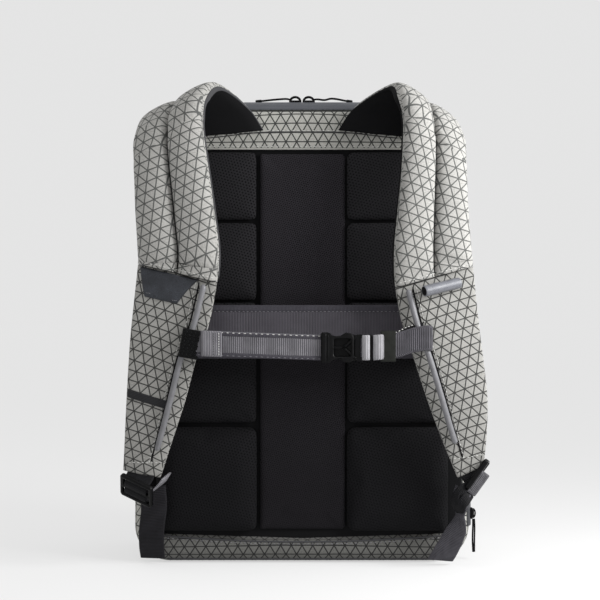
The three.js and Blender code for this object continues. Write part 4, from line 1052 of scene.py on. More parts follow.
def build_zips():
    cache = {}

    def run_of(over_top, first, last, count):
        def run(inset):
            key = (over_top, round(inset, 4))
            if key not in cache:
                cache[key] = outline_part(inset, first, last, over_top, count)
            return cache[key]
        return run

    skinned("zip_tape_top_cloth", tape_loops(run_of(True, 0.6, 1, 420), 0.2, TAPE_FAR), TAPE, "zip_tape",
            node="zip_tape_top")
    skinned("side_zip_cloth", tape_loops(run_of(False, 0.0, 0.4, 90), 4, TAPE_FAR), TAPE_SIDE, "zip_tape",
            node="side_zip_tape")

    for label, sign in (("left", -1), ("right", 1)):
        mid = box_middle(f"zip_slider_{label}")
        base = mid[2] - 2.5
        parts = [plate_mesh([rounded_outline(11, 8, 2.4)], 1.6, 0.5, vec(mid[0], mid[1], base + 0.9),
                            (X, Y, Z)),
                 plate_mesh([rounded_outline(9.4, 6.4, 2.0)], 1.4, 0.5, vec(mid[0], mid[1], base + 2.5),
                            (X, Y, Z))]
        arch = [vec(mid[0] + 4.9 * math.cos(t), mid[1] - 2.4, base + 2.0 + 4.3 * math.sin(t))
                for t in np.linspace(-0.4, math.pi + 0.4, 13)]
        parts.append(round_rod(arch, 1.2))
        moulded(f"zip_slider_{label}_metal", parts, node=f"zip_slider_{label}")
        start = vec(mid[0] + sign * 5.4, mid[1] - 2.2, base + 4.0)
        if sign < 0:
            bends = [(-4, 0.3, 0.6), (-14, 0.6, 0.0), (-25, 0.4, -1.2), (-33, 0.2, -2.0)]
        else:
            bends = [(4, 0.4, 0.2), (10, 0.8, -0.4), (16, 0.6, 0.9), (22, 0.3, 0.4), (30, 0.2, -1.2),
                     (37, 0.1, -2.2)]
        pull_loop(f"zip_pull_{label}_cord", start, bends, Y, f"zip_pull_{label}")

    mid = box_middle("side_zip_slider")
    parts = [plate_mesh([rounded_outline(8, 11, 2.2)], 1.8, 0.5, mid - X * 1.2, (Y, Z, X)),
             plate_mesh([rounded_outline(6.4, 9.4, 2.0)], 1.4, 0.5, mid + X * 0.4, (Y, Z, X)),
             round_rod([mid + vec(0.4 + 2.0 * math.sin(t), 0, 4.2 * math.cos(t))
                        for t in np.linspace(0.0, math.pi, 9)], 0.75)]
    moulded("side_zip_slider_metal", parts, node="side_zip_slider")
    start = vec(mid[0] + 0.9, mid[1], mid[2] - 5.5)
    pull_loop("side_zip_pull_cord", start, [(0.2, 0.5, -8), (-0.1, 0.2, -20), (0.1, 0, -32)],
              vec(0.9, 0.45, 0), "side_zip_pull")


def pull_loop(name, start, bends, across, node):
    """A doubled cord with a moulded tip, bent through points counted from its start."""
    line = smooth_path([start, *(start + vec(*bend) for bend in bends)], 1.0)
    parts = []
    for sign in (-1, 1):
        spread = [p + across * sign * (0.75 + 0.35 * math.sin(math.pi * i / (len(line) - 1)))
                  for i, p in enumerate(line)]
        parts.append(round_rod(spread, 0.85))
    end = line[-1]
    way = unit(line[-1] - line[-3])
    parts.append(bar_mesh(end - way * 6, end + way * 0.2, 1.5, up=across))
    moulded(name, parts, node=node, sharp=None)


# The shoulder straps: shares of HALF_WIDTH, BODY_HEIGHT and STRAP_REACH for both edges, then the
# padding's height and how deep its middle fold is
LEFT_STRAP = [
    (.238, .939, .774, .920, .153, .153, .0, .0), (.335, .989, .839, .942, .24, .22, .2, .2),
    (.483, 1.024, .925, .945, .52, .45, .56, .9), (.555, .993, .956, .892, .82, .70, .9, 1),
    (.570, .949, .956, .849, .91, .79, 1, 1), (.563, .909, .953, .810, .95, .83, 1, 1),
    (.528, .820, .948, .762, .98, .86, 1, 1), (.500, .746, .938, .705, 1, .88, 1, 1),
    (.477, .673, .932, .664, 1, .88, 1, 1), (.488, .607, .932, .645, .98, .87, .7, 1),
    (.535, .517, .973, .507, .95, .86, 1, 0), (.605, .448, .988, .440, .90, .83, 1, 0),
    (.671, .360, 1.003, .360, .82, .78, 1, 0), (.748, .275, 1.019, .262, .73, .70, .9, 0),
    (.820, .196, 1.029, .211, .64, .62, .5, 0),
]
RIGHT_STRAP = [
    (.226, .939, .762, .920, .153, .153, .0, .0), (.330, .989, .832, .945, .24, .22, .3, .0),
    (.517, 1.024, .894, .937, .52, .45, .7, .8), (.555, .993, .927, .892, .82, .70, .95, 1),
    (.581, .949, .934, .849, .91, .79, 1, 1), (.580, .902, .939, .810, .95, .83, 1, 1),
    (.568, .829, .944, .762, .98, .86, 1, 1), (.545, .745, .955, .705, 1, .88, 1, 1),
    (.528, .673, .966, .661, 1, .88, 1, .9), (.534, .596, .972, .640, .98, .87, .7, .7),
    (.575, .517, 1.007, .517, .95, .86, 1, 0), (.640, .448, 1.035, .440, .90, .83, 1, 0),
    (.711, .370, 1.060, .360, .82, .78, 1, 0), (.794, .289, 1.058, .281, .73, .70, .9, 0),
    (.900, .196, 1.046, .222, .64, .62, .5, 0),
]
JOIN_ROW = 9


def catmull(points, t):
    """A point and its direction on the curve through evenly counted points."""
    last = len(points) - 1
    at = min(max(t, 0.0), 1.0) * last
    i = min(int(at), last - 1)
    w = at - i
    p1, p2 = points[i], points[i + 1]
    p0 = points[i - 1] if i else 2 * p1 - p2
    p3 = points[i + 2] if i + 2 <= last else 2 * p2 - p1
    t0, t1 = (p2 - p0) / 2, (p3 - p1) / 2
    c2 = -3 * p1 + 3 * p2 - 2 * t0 - t1
    c3 = 2 * p1 - 2 * p2 + t0 + t1
    return p1 + t0 * w + c2 * w * w + c3 * w**3, unit(t0 + 2 * c2 * w + 3 * c3 * w * w)


class Strap:
    def __init__(self, rows, side):
        self.side = side
        self.label = "left" if side < 0 else "right"
        self.rows = np.array(rows, float)
        self.last = len(rows) - 1
        self.inner = [vec(side * r[0] * HALF_WIDTH, -r[4] * STRAP_REACH, r[1] * BODY_HEIGHT) for r in rows]
        self.outer = [vec(side * r[2] * HALF_WIDTH, -r[5] * STRAP_REACH, r[3] * BODY_HEIGHT) for r in rows]

    def value(self, column, row):
        low = min(int(row), self.last - 1)
        share = row - low
        return self.rows[low][column] * (1 - share) + self.rows[low + 1][column] * share

    def frame(self, row):
        inner, a = catmull(self.inner, row / self.last)
        outer, b = catmull(self.outer, row / self.last)
        along = unit(a + b)
        across = unit(outer - inner)
        face = unit(np.cross(along, across) * self.side)
        return inner, outer, along, across, face

    def place(self, row, u, height):
        inner, outer, _, _, face = self.frame(row)
        return inner + (outer - inner) * u + face * height


LEFT = Strap(LEFT_STRAP, -1)
RIGHT = Strap(RIGHT_STRAP, 1)


def lower_height(strap, row, u):
    crown = strap.value(6, row)
    return LOWER_EDGE / 2 + LOWER_CROWN * crown * math.sqrt(max(math.sin(math.pi * min(max(u, 0), 1)), 0))


def strap_section(strap, row, heights, shares, edge, back_steps=10, bulge=0.9):
    """A closed loop round the strap: over its face, round the outer edge and along its back."""
    inner, outer, _, across, face = strap.frame(row)
    loop = []
    for u, height in zip(shares, heights):
        loop.append(inner + (outer - inner) * u + face * height)
    for level, out in ((0.32, 0.75), (0.0, 1.0), (-0.32, 0.75)):
        loop.append(outer + across * out * bulge + face * level * edge)
    for u in np.linspace(1, 0, back_steps):
        loop.append(inner + (outer - inner) * u - face * edge / 2)
    for level, out in ((-0.32, 0.75), (0.0, 1.0), (0.32, 0.75)):
        loop.append(inner - across * out * bulge + face * level * edge)
    return loop


# Small dents and puckers on the upper straps: side, row, share across, depth, and reach along
# and across in rows and shares
DENTS = [
    (-1, 8.55, 0.80, 1.6, 0.22, 0.16), (-1, 8.1, 0.62, 0.7, 0.2, 0.2), (-1, 7.2, 0.25, 0.8, 0.35, 0.12),
    (-1, 4.6, 0.72, 0.6, 0.4, 0.15), (-1, 3.3, 0.3, 0.7, 0.25, 0.12), (1, 3.0, 0.46, 1.3, 0.13, 0.09),
    (1, 3.35, 0.58, 1.2, 0.12, 0.08), (1, 3.7, 0.46, 1.0, 0.12, 0.08), (1, 4.1, 0.57, 0.9, 0.15, 0.07),
    (1, 8.3, 0.66, 1.1, 0.3, 0.1), (1, 7.0, 0.3, 0.6, 0.5, 0.15), (1, 8.75, 0.35, 0.8, 0.15, 0.2),
]


def upper_height(strap, row, u):
    crown = strap.value(6, row)
    crease = strap.value(7, row)
    whole = math.sqrt(max(math.sin(math.pi * u), 0.0))
    power = 2.2
    lobes = max(1 - abs(2 * ((2 * u) % 1.0) - 1) ** power, 0.0) ** (1 / power)
    fold = 3.4 if strap.side < 0 else 2.0
    height = STRAP_EDGE / 2 + (STRAP_CROWN + fold) * crown * (whole * (1 - crease) + lobes * crease)
    height -= 2.6 * crease * math.exp(-((u - 0.5) / 0.022) ** 2)
    for side, at_row, at_u, depth, along, across in DENTS:
        if side == strap.side:
            height -= depth * math.exp(-((row - at_row) / along) ** 2 - ((u - at_u) / across) ** 2)
    free = min(u, 1 - u, 0.15) / 0.15 * min(crown, 1)
    slack = 0.55 * ripple((row * 9, u * 14, 0), 9, 5.0 + strap.side)
    return height + slack * free


def build_upper(strap):
    shares = (1 - np.cos(np.linspace(0, math.pi, 25))) / 4
    shares = np.concatenate([shares, 0.5 + shares[1:]])
    loops = []
    plan = []
    for row in np.linspace(0, JOIN_ROW, 150):
        heights = [upper_height(strap, row, float(u)) for u in shares]
        loops.append(strap_section(strap, row, heights, shares, STRAP_EDGE, bulge=0.9))
        heights = [STRAP_EDGE / 2 + 4 * math.sin(math.pi * u) for u in shares]
        plan.append(strap_section(strap, row, heights, shares, STRAP_EDGE, bulge=0.9))
    skinned(f"strap_{strap.label}_upper_cloth", loops, FABRIC_UPPER[strap.side], "fabric", zero=24,
            zero_row=110, plan=plan, node=f"strap_upper_{strap.label}", fill=0.6)

    # The dark cord at the bottom of the middle fold is partly its seam and partly painted shade of the deep
    # crease, thicker on the left strap.
    seam = [strap.place(row, 0.5, upper_height(strap, row, 0.5) + (1.9 if strap.side < 0 else 0.8))
            for row in np.linspace(1.6, JOIN_ROW - 0.12, 60)]
    tube(f"strap_{strap.label}_fold_seam_shade", seam, 1.25 if strap.side < 0 else 0.6, LINING, "fabric", step=2.0)

    under = []
    for row in np.linspace(0, JOIN_ROW - 0.03, 120):
        inner, outer, _, across, face = strap.frame(row)
        reach = 0.8
        start, end = inner - across * reach, outer + across * reach
        top, low = -STRAP_EDGE / 2 - 0.15, -STRAP_EDGE / 2 - 1.9
        loop = [start + (end - start) * u + face * top for u in np.linspace(0, 1, 9)]
        loop += [end + across * 0.5 + face * (top + low) / 2]
        loop += [start + (end - start) * u + face * low for u in np.linspace(1, 0, 9)]
        loop += [start - across * 0.5 + face * (top + low) / 2]
        under.append(loop)
    skinned(f"strap_{strap.label}_lining_cloth", under, LINING, "lining", node=f"strap_lining_{strap.label}")

    # The edging that shows along the inner side, widest over the crest. It is grey on the left strap,
    # painted light where that side faces the lamp, and black on the right strap.
    edging = []
    for row in np.linspace(0.0, JOIN_ROW - 0.1, 110):
        inner, _, _, across, face = strap.frame(row)
        wide = 2.4 + 2.8 * math.exp(-((row - 2.6) / 1.0) ** 2)
        centre = inner - across * 0.9 + face * (-STRAP_EDGE / 2 - 0.4)
        edging.append([centre + across * math.cos(a) * 0.9 + face * math.sin(a) * wide / 2
                       for a in np.linspace(0, 2 * math.pi, 12, endpoint=False)])
    skinned(f"strap_{strap.label}_edging", edging, LINING_GREY if strap.side < 0 else LINING, "lining")


def build_lower(strap):
    shares = (1 - np.cos(np.linspace(0, math.pi, 33))) / 2
    loops = []
    plan = []
    first = JOIN_ROW + 0.02
    for row in np.linspace(first, strap.last, 110):
        heights = []
        for u in shares:
            height = lower_height(strap, row, float(u))
            groove = 0.8 * math.exp(-((u - rail_u(row) - 0.07) / 0.025) ** 2)
            height -= groove * min(1, (strap.last - row) * 2)
            free = min(u, 1 - u, 0.15) / 0.15
            height += 0.4 * free * ripple((row * 9, u * 14, 0), 8, 9.0 + strap.side)
            heights.append(height)
        loops.append(strap_section(strap, row, heights, shares, LOWER_EDGE, bulge=0.7))
        heights = [LOWER_EDGE / 2 + 2.5 * math.sin(math.pi * u) for u in shares]
        plan.append(strap_section(strap, row, heights, shares, LOWER_EDGE, bulge=0.7))
    skinned(f"strap_{strap.label}_lower_cloth", loops, FABRIC_LOWER[strap.side], "fabric", zero=16,
            plan=plan, node=f"strap_lower_{strap.label}", fill=0.35)


RAIL_LAST_ROW = 13.2


def rail_point(strap, share):
    share = min(max(share, 0.001), 0.999)
    row = JOIN_ROW + 0.12 + (RAIL_LAST_ROW - JOIN_ROW - 0.12) * share
    seat = lower_height(strap, row, RAIL_AT) + 2 * GAP
    lift = RAIL_LIFT * math.sqrt(math.sin(math.pi * share))
    return strap.place(row, rail_u(row), seat + lift + RAIL_DIAMETER / 2)


def rail_u(row):
    """The cord starts close to the inner edge and ends further in."""
    return float(np.interp(row, (9.1, 10.7, RAIL_LAST_ROW), (0.13, 0.2, 0.265)))


def build_rail(strap):
    path = [rail_point(strap, share) for share in np.linspace(0, 1, 26)]
    tube(f"rail_{strap.label}_cord", path, RAIL_DIAMETER / 2, RAIL, "cord", sides=14, step=1.6,
         node=f"rail_{strap.label}")
    rows = np.linspace(JOIN_ROW + 0.1, strap.last - 0.4, 60)
    normals = [strap.frame(r)[4] for r in rows]
    for name, shift, lift in (("groove", 0.07, -0.35), ("stitches", 0.115, 0.05)):
        spots = [(r, rail_u(r) + shift) for r in rows]
        line = [strap.place(r, u, lower_height(strap, r, u) + lift) for r, u in spots]
        # The groove gets a black cord laid in it: painted shadow of the dark gap beside the cord.
        if name == "groove":
            tube(f"rail_{strap.label}_groove", line, 0.75, LINING, "fabric")
        else:
            stitches(f"rail_{strap.label}_stitches", line, normals, length=2.2, gap=1.8)


def build_joins(strap):
    """Stitches over the seam between the upper and the lower strap, and at the strap's foot."""
    for name, row, edge in (("join", JOIN_ROW - 0.09, 0.02), ("foot", strap.last - 0.42, 0.04)):
        shares = np.linspace(edge, 1 - edge, 40)
        height = upper_height if row < JOIN_ROW else lower_height
        line = [strap.place(row, float(u), height(strap, row, float(u)) + 0.2) for u in shares]
        stitches(f"strap_{strap.label}_{name}_stitches", line, strap.frame(row)[4])


def over_lower(strap, rows_of_places, thickness):
    """Loops of a thin piece that lies on the lower strap."""
    loops = []
    for k, places in enumerate(rows_of_places):
        end = min(k, len(rows_of_places) - 1 - k)
        thin = 0.35 if end == 0 else 0.8 if end == 1 else 1.0
        front, back = [], []
        for i, (row, u) in enumerate(places):
            side = min(i, len(places) - 1 - i)
            round_off = 0.35 if side == 0 else 0.8 if side == 1 else 1.0
            base = lower_height(strap, row, u) + 0.25
            front.append(strap.place(row, u, base + thickness * thin * round_off))
            back.append(strap.place(row, u, base - 0.5))
        loops.append(front + back[::-1])
    return loops


PATCH_TOP_ROW = 0.05
PATCH_FOOT_ROWS = (0.565, 0.5)
PATCH_TOP = (0.215, 0.965)
PATCH_FOOT = (0.44, 0.87)


def build_patch():
    rows = []
    for down in [0, 0.03, *np.linspace(0.08, 0.92, 18), 0.97, 1]:
        inner = PATCH_TOP[0] + (PATCH_FOOT[0] - PATCH_TOP[0]) * down
        outer = PATCH_TOP[1] + (PATCH_FOOT[1] - PATCH_TOP[1]) * down ** 1.6
        places = []
        for c in [0, 0.012, *np.linspace(0.04, 0.96, 26), 0.988, 1]:
            foot = PATCH_FOOT_ROWS[0] + (PATCH_FOOT_ROWS[1] - PATCH_FOOT_ROWS[0]) * c
            places.append((JOIN_ROW + PATCH_TOP_ROW + (foot - PATCH_TOP_ROW) * down,
                           inner + (outer - inner) * c))
        rows.append(places)
    skinned("leather_patch_hide", over_lower(LEFT, rows, 1.7), LEATHER, "leather", node="leather_patch")
    for label, u, foot in (("inner", PATCH_FOOT[0] + 0.04, PATCH_FOOT_ROWS[0]),
                           ("outer", PATCH_FOOT[1] - 0.04, PATCH_FOOT_ROWS[1])):
        row = JOIN_ROW + foot - 0.05
        line = [LEFT.place(row, v, lower_height(LEFT, row, v) + 2.1) for v in (u - 0.035, u, u + 0.035)]
        stitches(f"leather_patch_tack_{label}", line, LEFT.frame(row)[4], material=THREAD_GREY,
                 length=1.1, gap=0.35, radius=0.3)


ROLL_LENGTH = 37.6
ROLL_RADIUS = 5.5


def build_roll():
    row = JOIN_ROW + 0.26
    height = LOWER_EDGE / 2 + LOWER_CROWN * RIGHT.value(6, row) + 2 * GAP + 5
    start = RIGHT.place(row, 0.3, height + 2.4)
    end = RIGHT.place(row, 0.8, height)
    along = unit(unit(end - start) + vec(0, 0.27, 0))
    middle = (start + end) / 2
    up = unit(np.cross(along, FRONT))
    front = np.cross(up, along)
    # Its section is a strip of hide rolled up one and a half times
    turns = np.linspace(0, 2 * math.pi * 1.45, 60)
    outside = [(ROLL_RADIUS - 1.3 * t / turns[-1], t) for t in turns]
    inside = [(r - 1.1, t) for r, t in outside][::-1]
    loops = []
    for share in np.linspace(-0.5, 0.5, 40):
        slack = 0.25 * ripple((share * 40, 0, 0), 9, 4.4)
        thin = 0.94 if abs(share) == 0.5 else 1.0
        at = middle + along * share * ROLL_LENGTH
        loops.append([at + (up * math.cos(t - 1.9) + front * math.sin(t - 1.9)) * (r * thin + slack)
                      for r, t in outside + inside])
    skinned("leather_roll_hide", loops, LEATHER_ROLL_PAINTED_SHEEN, "leather", sharp=50, node="leather_roll")
    inside = [middle + along * (share * ROLL_LENGTH) for share in (-0.503, -0.3, 0.3, 0.46)]
    tube("leather_roll_inside", inside, 4.1, LINING, "leather", sides=20, step=1.5, rounded=False)


def build_elastic():
    rows = []
    for shift in [-1, -0.93, *np.linspace(-0.8, 0.8, 9), 0.93, 1]:
        rows.append([(JOIN_ROW + shift * 0.095 + 3.1 + (2.82 - 3.1) * c, 0.27 + 0.73 * c)
                     for c in [0, 0.012, *np.linspace(0.04, 0.96, 34), 0.988, 1]])
    skinned("elastic_band_web", over_lower(LEFT, rows, 1.4), ELASTIC, "webbing", flip_map=True,
            node="elastic_band")


# The luggage band


# Shares of BAND_HALF and of the way out to BAND_REACH, from the seam to the middle
BAND_ROWS = [(1.0, 0.0), (0.965, 0.0), (0.945, 0.25), (0.915, 0.42), (0.79, 0.84), (0.6, 0.97), (0.3, 1.0)]
BAND_HALF = 146.5
BAND_HEIGHT = 221
BAND_WIDTH = 50
BAND_REACH = -38


def build_band():
    seat = PAD_SEAT - WEB_THICKNESS / 2
    right = [vec(x * BAND_HALF, seat + reach * (BAND_REACH - seat), BAND_HEIGHT) for x, reach in BAND_ROWS]
    path = right + [vec(0, BAND_REACH, BAND_HEIGHT)] + [vec(-p[0], p[1], p[2]) for p in right[::-1]]
    webbing("luggage_band_web", path, Z, BAND_WIDTH, WEB_THICKNESS, 1.5, BAND, node="luggage_band",
            relief=0.18, columns=15, wobble=0.5, seed=2.0)
    line = smooth_path(path, 3.0)
    ahead = directions(line)
    normals = np.cross(ahead, Z)
    normals *= -np.sign((normals[:, 1:2]).mean())
    for name, z in (("top", 19.0), ("foot", -19.0)):
        webbing(f"luggage_band_hem_{name}", line + normals * 1.1 + vec(0, 0, np.sign(z) * 21.9), Z,
                6.0, 0.9, 1.3, HEM, relief=0.1, columns=7)
        stitches(f"luggage_band_stitches_{name}", line + normals * 1.25 + vec(0, 0, z), normals,
                 material=THREAD_GREY, length=2.2, gap=1.6, radius=0.3)


# The chest strap


def rail_at(strap, z):
    low, high = 0.001, 0.999
    for _ in range(30):
        middle = (low + high) / 2
        if rail_point(strap, middle)[2] > z:
            low = middle
        else:
            high = middle
    along = unit(rail_point(strap, low + 0.01) - rail_point(strap, low - 0.01))
    return rail_point(strap, low), along


LOOP_RISE = 4.5


def build_chest():
    left_centre, left_along = rail_at(LEFT, CHEST_HEIGHT + CHEST_SAG)
    right_centre, right_along = rail_at(RIGHT, CHEST_HEIGHT + CHEST_SAG + LOOP_RISE)
    depth = right_centre[1] - RAIL_PASS
    clip_right = (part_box("chest_clip")[1].x - SHIFT[0]) / MM
    build_clip(left_centre, left_along)
    start, end = clip_right + GAP, FEMALE_LEFT - GAP

    def web_point(x, lift=0.0):
        share = min(max((x - start) / (end - start), 0), 1)
        return vec(x, depth - 1.5 * math.sin(math.pi * share) - lift, CHEST_HEIGHT + CHEST_SAG * (1 - share))

    xs = np.linspace(start - 2.5, end + 1.5, 9)
    path = [web_point(x) for x in xs]
    webbing("chest_web_left_strap", path, Z, CHEST_WEB, WEB_THICKNESS, 1.9, CHEST,
            node="chest_web_left", relief=0.42, columns=11, wobble=0.35, seed=6.0)
    line = smooth_path(path, 2.0)
    stitches("chest_web_stitches_top", line + vec(0, -1.0, 10.3), FRONT, length=2.6, gap=2.6,
             radius=0.36)
    stitches("chest_web_stitches_foot", line + vec(0, -1.0, -10.4), FRONT,
             material=THREAD_GREY, length=3.0, gap=2.2, radius=0.34)
    webbing("chest_web_edge_top", line + vec(0, -0.75, 9.0), Z, 3.4, 1.0, 1.4, HEM,
            relief=0.08, columns=5)
    webbing("chest_web_edge_foot", line + vec(0, -0.75, -9.7), Z, 3.8, 1.0, 1.4, HEM,
            relief=0.08, columns=5)

    lift = WEB_THICKNESS + GAP + 0.1
    tail = [web_point(start + 2.8, lift * 0.7), web_point(start + 4.6, lift + 0.4),
            web_point(start + 9, lift + 0.3), web_point(start + 14, lift + 0.1),
            web_point(start + 21, lift - 0.1)]
    webbing("chest_tail_fold", tail, Z, CHEST_WEB + 0.4, WEB_THICKNESS + 0.4, 1.9, PALE, "webbing_pale",
            node="chest_tail", relief=0.3, columns=11)
    for k, x in enumerate((start + 13.6, start + 18.2)):
        at = web_point(x, lift + 1.2)
        run = [at + vec(0, 0, z) for z in np.linspace(-10.5, 10.5, 12)]
        stitches(f"chest_tail_tack_{k}", run, FRONT, length=1.5, gap=0.8, radius=0.36,
                 material=THREAD if k else THREAD_DARK)
    build_buckle(depth)
    build_loop(right_centre, right_along, depth)


def build_clip(centre, along):
    """The clip on the left cord: a bored block with rows of small domed bars on its face."""
    z = unit(along * np.sign(along[2]) + vec(0, 0, 1.4))
    y = unit(FRONT - z * FRONT.dot(z))
    x = np.cross(y, z)
    if x[0] < 0:
        x = -x
    shift = 11 / 2 - RAIL_BORE - 1.6
    middle = centre + y * shift
    hole = [((RAIL_BORE + 1.1) * math.cos(-t), -shift + RAIL_BORE * math.sin(-t))
            for t in np.linspace(0, 2 * math.pi, 28, endpoint=False)]
    parts = [plate_mesh([rounded_outline(17.5, 11, 2.6, x=3.0), hole], 26.5, 0.9, middle, (x, y, z))]
    for k in range(8):
        for i in range(4):
            at = middle + z * (k - 3.5) * 2.95 + x * ((i - 1.5) * 3.9 + 3.0 + (k % 2 - 0.5)) + y * 5.4
            parts.append(bar_mesh(at - x * 1.35 - z * 0.7, at + x * 1.35 + z * 0.7, 0.95, sides=8,
                                  squash=0.9, up=y))
    moulded("chest_clip_block", parts, node="chest_clip")


def build_buckle(depth):
    def plates(centre, cuts):
        return [plate_mesh(outlines, thickness, bevel, centre + Y * back, (X, Z, FRONT))
                for outlines, thickness, bevel, back in cuts]

    # Half of the shell's outline, from its left end: it narrows to a waist where the arms show
    half = [(-15, 12.6), (-13.8, 13.8), (-9, 14), (-6.5, 13.2), (-4.5, 11.2), (-1, 10.4), (3, 10.8),
            (5.5, 12.6), (8, 13.6), (12, 13.2), (14.4, 11.4), (15, 9)]
    outline = densified(half + [(x, -y) for x, y in half[::-1]])
    shell = plates(vec(FEMALE_LEFT + BUCKLE_WIDTH / 2, depth, CHEST_HEIGHT),
                   [([outline, rounded_outline(15.5, 16.5, 2.2, x=4.6)], 7.6, 1.3, 0),
                    ([rounded_outline(4.6, 27, 1.6, x=-12.2)], 9.4, 1.2, 0),
                    ([rounded_outline(1.6, 24, 0.7, x=-8.4)], 8.4, 0.5, 0),
                    ([rounded_outline(17.5, 19, 0.8, x=4.4)], 1.4, 0.3, 3.0),
                    ([rounded_outline(8.6, 2.0, 0.6, x=-0.4)], 4.4, 0.5, 0.4)])
    moulded("buckle_female_shell", shell, node="buckle_female")

    # The plug, then the prongs inside the shell: a middle tongue and two arms that press outwards
    slots = [rounded_outline(2.2, 18, 0.6, x=3.6), rounded_outline(2.2, 17, 0.6, x=-1.6)]
    cuts = [([rounded_outline(16.4, 24, 2.4), *slots], 4.2, 0.8, 0),
            ([densified([(-6, 9.5), (-16, 0.0), (-6, -9.5)])], 2.4, 0.5, 0)]
    for side in (-1, 1):
        arm = [(-7, side * 11.4), (-11, side * 12.6), (-15, side * 12.2), (-18.4, side * 9.6),
               (-14, side * 8.6), (-9, side * 8.2), (-7, side * 7.2)]
        wedge = [(-6.5, side * 11.8), (-6.5, side * 9.2), (-16.2, side * 0.4), (-18.6, side * 0.4),
                 (-17.4, side * 1.8)]
        cuts += [([densified(arm[::-side])], 3.6, 0.7, 0), ([densified(wedge[::side])], 6.2, 0.7, 0)]
    plug = vec(FEMALE_LEFT + BUCKLE_WIDTH + GAP + MALE_LENGTH / 2, depth, CHEST_HEIGHT)
    moulded("buckle_male_plug", plates(plug, cuts), node="buckle_male")


def densified(outline, step=0.9):
    closed = np.array([*outline, outline[0]], float)
    out = []
    for a, b in zip(closed[:-1], closed[1:]):
        count = max(int(np.linalg.norm(b - a) / step), 1)
        out += [tuple(a + (b - a) * k / count) for k in range(count)]
    return out


def build_loop(centre, along, depth):
    slant = abs(along[0] / along[2]) * CHEST_WEB / 2
    start = FEMALE_LEFT + BUCKLE_WIDTH + MALE_LENGTH + 2 * GAP

    def web_z(x):
        rise = LOOP_RISE * smoothstep(x, KEEPER_LEFT + KEEPER_LENGTH - 6, centre[0])
        return CHEST_HEIGHT + CHEST_SAG * max((x - start) / (centre[0] - start), 0) + rise

    path, leans = [], []
    for share, lean in ((0, 0), (0.25, 0), (0.5, 0.3), (0.75, 0.8), (1, 1)):
        x = start + (centre[0] + slant - start) * share
        path.append(vec(x, depth + 1.2 * math.sin(math.pi * share) ** 2, web_z(x)))
        leans.append(lean)
    for turn in (-60, -30, 0, 30, 60, 90):
        angle = math.radians(turn)
        path.append(vec(centre[0] + slant + math.cos(angle) * RAIL_PASS,
                        centre[1] + math.sin(angle) * RAIL_PASS, centre[2]))
        leans.append(1)
    path.append(vec(centre[0] - slant - RAIL_DIAMETER * 1.6, centre[1] + RAIL_PASS, centre[2]))
    leans.append(1)
    path = np.array(path)
    fine = smooth_path(path, 1.5)
    run = lengths(path)
    fine_run = np.linspace(0, run[-1], len(fine))
    lean = np.interp(fine_run, run, leans)
    across = np.stack([np.zeros(len(fine)), lean * along[1], np.full(len(fine), along[2])], axis=1)
    across /= np.linalg.norm(across, axis=1, keepdims=True)
    across *= np.sign(across[:, 2:3])
    webbing("chest_loop_web", fine, across, CHEST_WEB, WEB_THICKNESS, 1.9, LOOP,
            node="chest_loop", relief=0.42, columns=11, wobble=0.3, seed=8.0)
    # The web's return layer behind the loop is black webbing: painted shade of the chest webbing in the
    # loop's shadow.
    back = [vec(x, depth + 3.2, web_z(x) + 2.6 * smoothstep(x, 82, 96))
            for x in np.linspace(84, centre[0] + 1, 6)]
    folded("chest_loop_back", back, [Z, Z], CHEST_WEB, BLACK_WEB, relief=0.2)
    edge = smooth_path([p + vec(0, -0.6, CHEST_WEB / 2 - 0.5) for p in back], 2.0)
    stitches("chest_loop_back_stitches", edge, vec(0, -0.6, 0.8), length=2.2, gap=1.0,
             radius=0.45)
    lift = WEB_THICKNESS + GAP + 0.3
    for k, (x0, x1) in enumerate(((start - 9.4, start - 3.9), (start + 0.7, start + 9.2))):
        xs = np.linspace(x0, x1, 4)
        fold = [vec(x, depth - lift - 1.6 * math.sin(math.pi * i / 3), web_z(x)) for i, x in enumerate(xs)]
        webbing(f"chest_fold_{k}", fold, Z, CHEST_WEB, 2.6, 1.5, PALE_PAINTED_LIGHT, "webbing_pale",
                node="chest_fold" if k else None, relief=0.2, columns=11)
    x = KEEPER_LEFT + KEEPER_LENGTH / 2 - 3.9
    ring = [rounded_outline(7.3, 28.2, 1.8), rounded_outline(4.1, 25, 1.0)]
    parts = [plate_mesh(ring, KEEPER_LENGTH + 1.6, 0.6, vec(x, depth, web_z(x)), (Y, Z, X))]
    moulded("chest_keeper_ring", parts, KEEPER, "chest_keeper")


# The ladder locks and the lower webbing


def ladder_lock(name, centre, right, down, width, height, node):
    """A ladder lock: a bevelled frame with three bars, in the plane of right and down."""
    face = unit(np.cross(right, down))
    slot = (height - 3 * LOCK_BAR) / 2
    holes = [rounded_outline(width - 2 * LOCK_BAR + k, slot, 1.0, y=k * (slot + LOCK_BAR) / 2)
             for k in (-1, 1)]
    parts = [plate_mesh([rounded_outline(width, height, 2.4), *holes], LOCK_THICKNESS, 0.9, centre,
                        (right, down, face))]
    for place, size in ((-1, 2.0), (0, 1.7), (1, 2.2)):
        for side in (-1, 1):
            at = centre + down * place * (slot + LOCK_BAR) + face * side * 0.6
            parts.append(bar_mesh(at - right * (width / 2 - 1.2), at + right * (width / 2 - 1.2), size,
                                  up=face))
    moulded(name, parts, node=node)
    return face


def folded(name, path, sides, width, material, slot="webbing", node=None, **options):
    """Webbing through points, its side at each of them given by `sides`."""
    line = smooth_path(path, 0.45)
    knots = np.linspace(0, 1, len(sides))
    if len(sides) == len(path):
        knots = lengths(path)
        knots /= knots[-1]
    sides = np.array([unit(np.asarray(side, float)) for side in sides])
    turned = sampled(np.linspace(0, 1, 60), knots, sides)
    return webbing(name, line, turned, width, WEB_THICKNESS, 1.7, material, slot, node=node,
                   columns=11, **options)


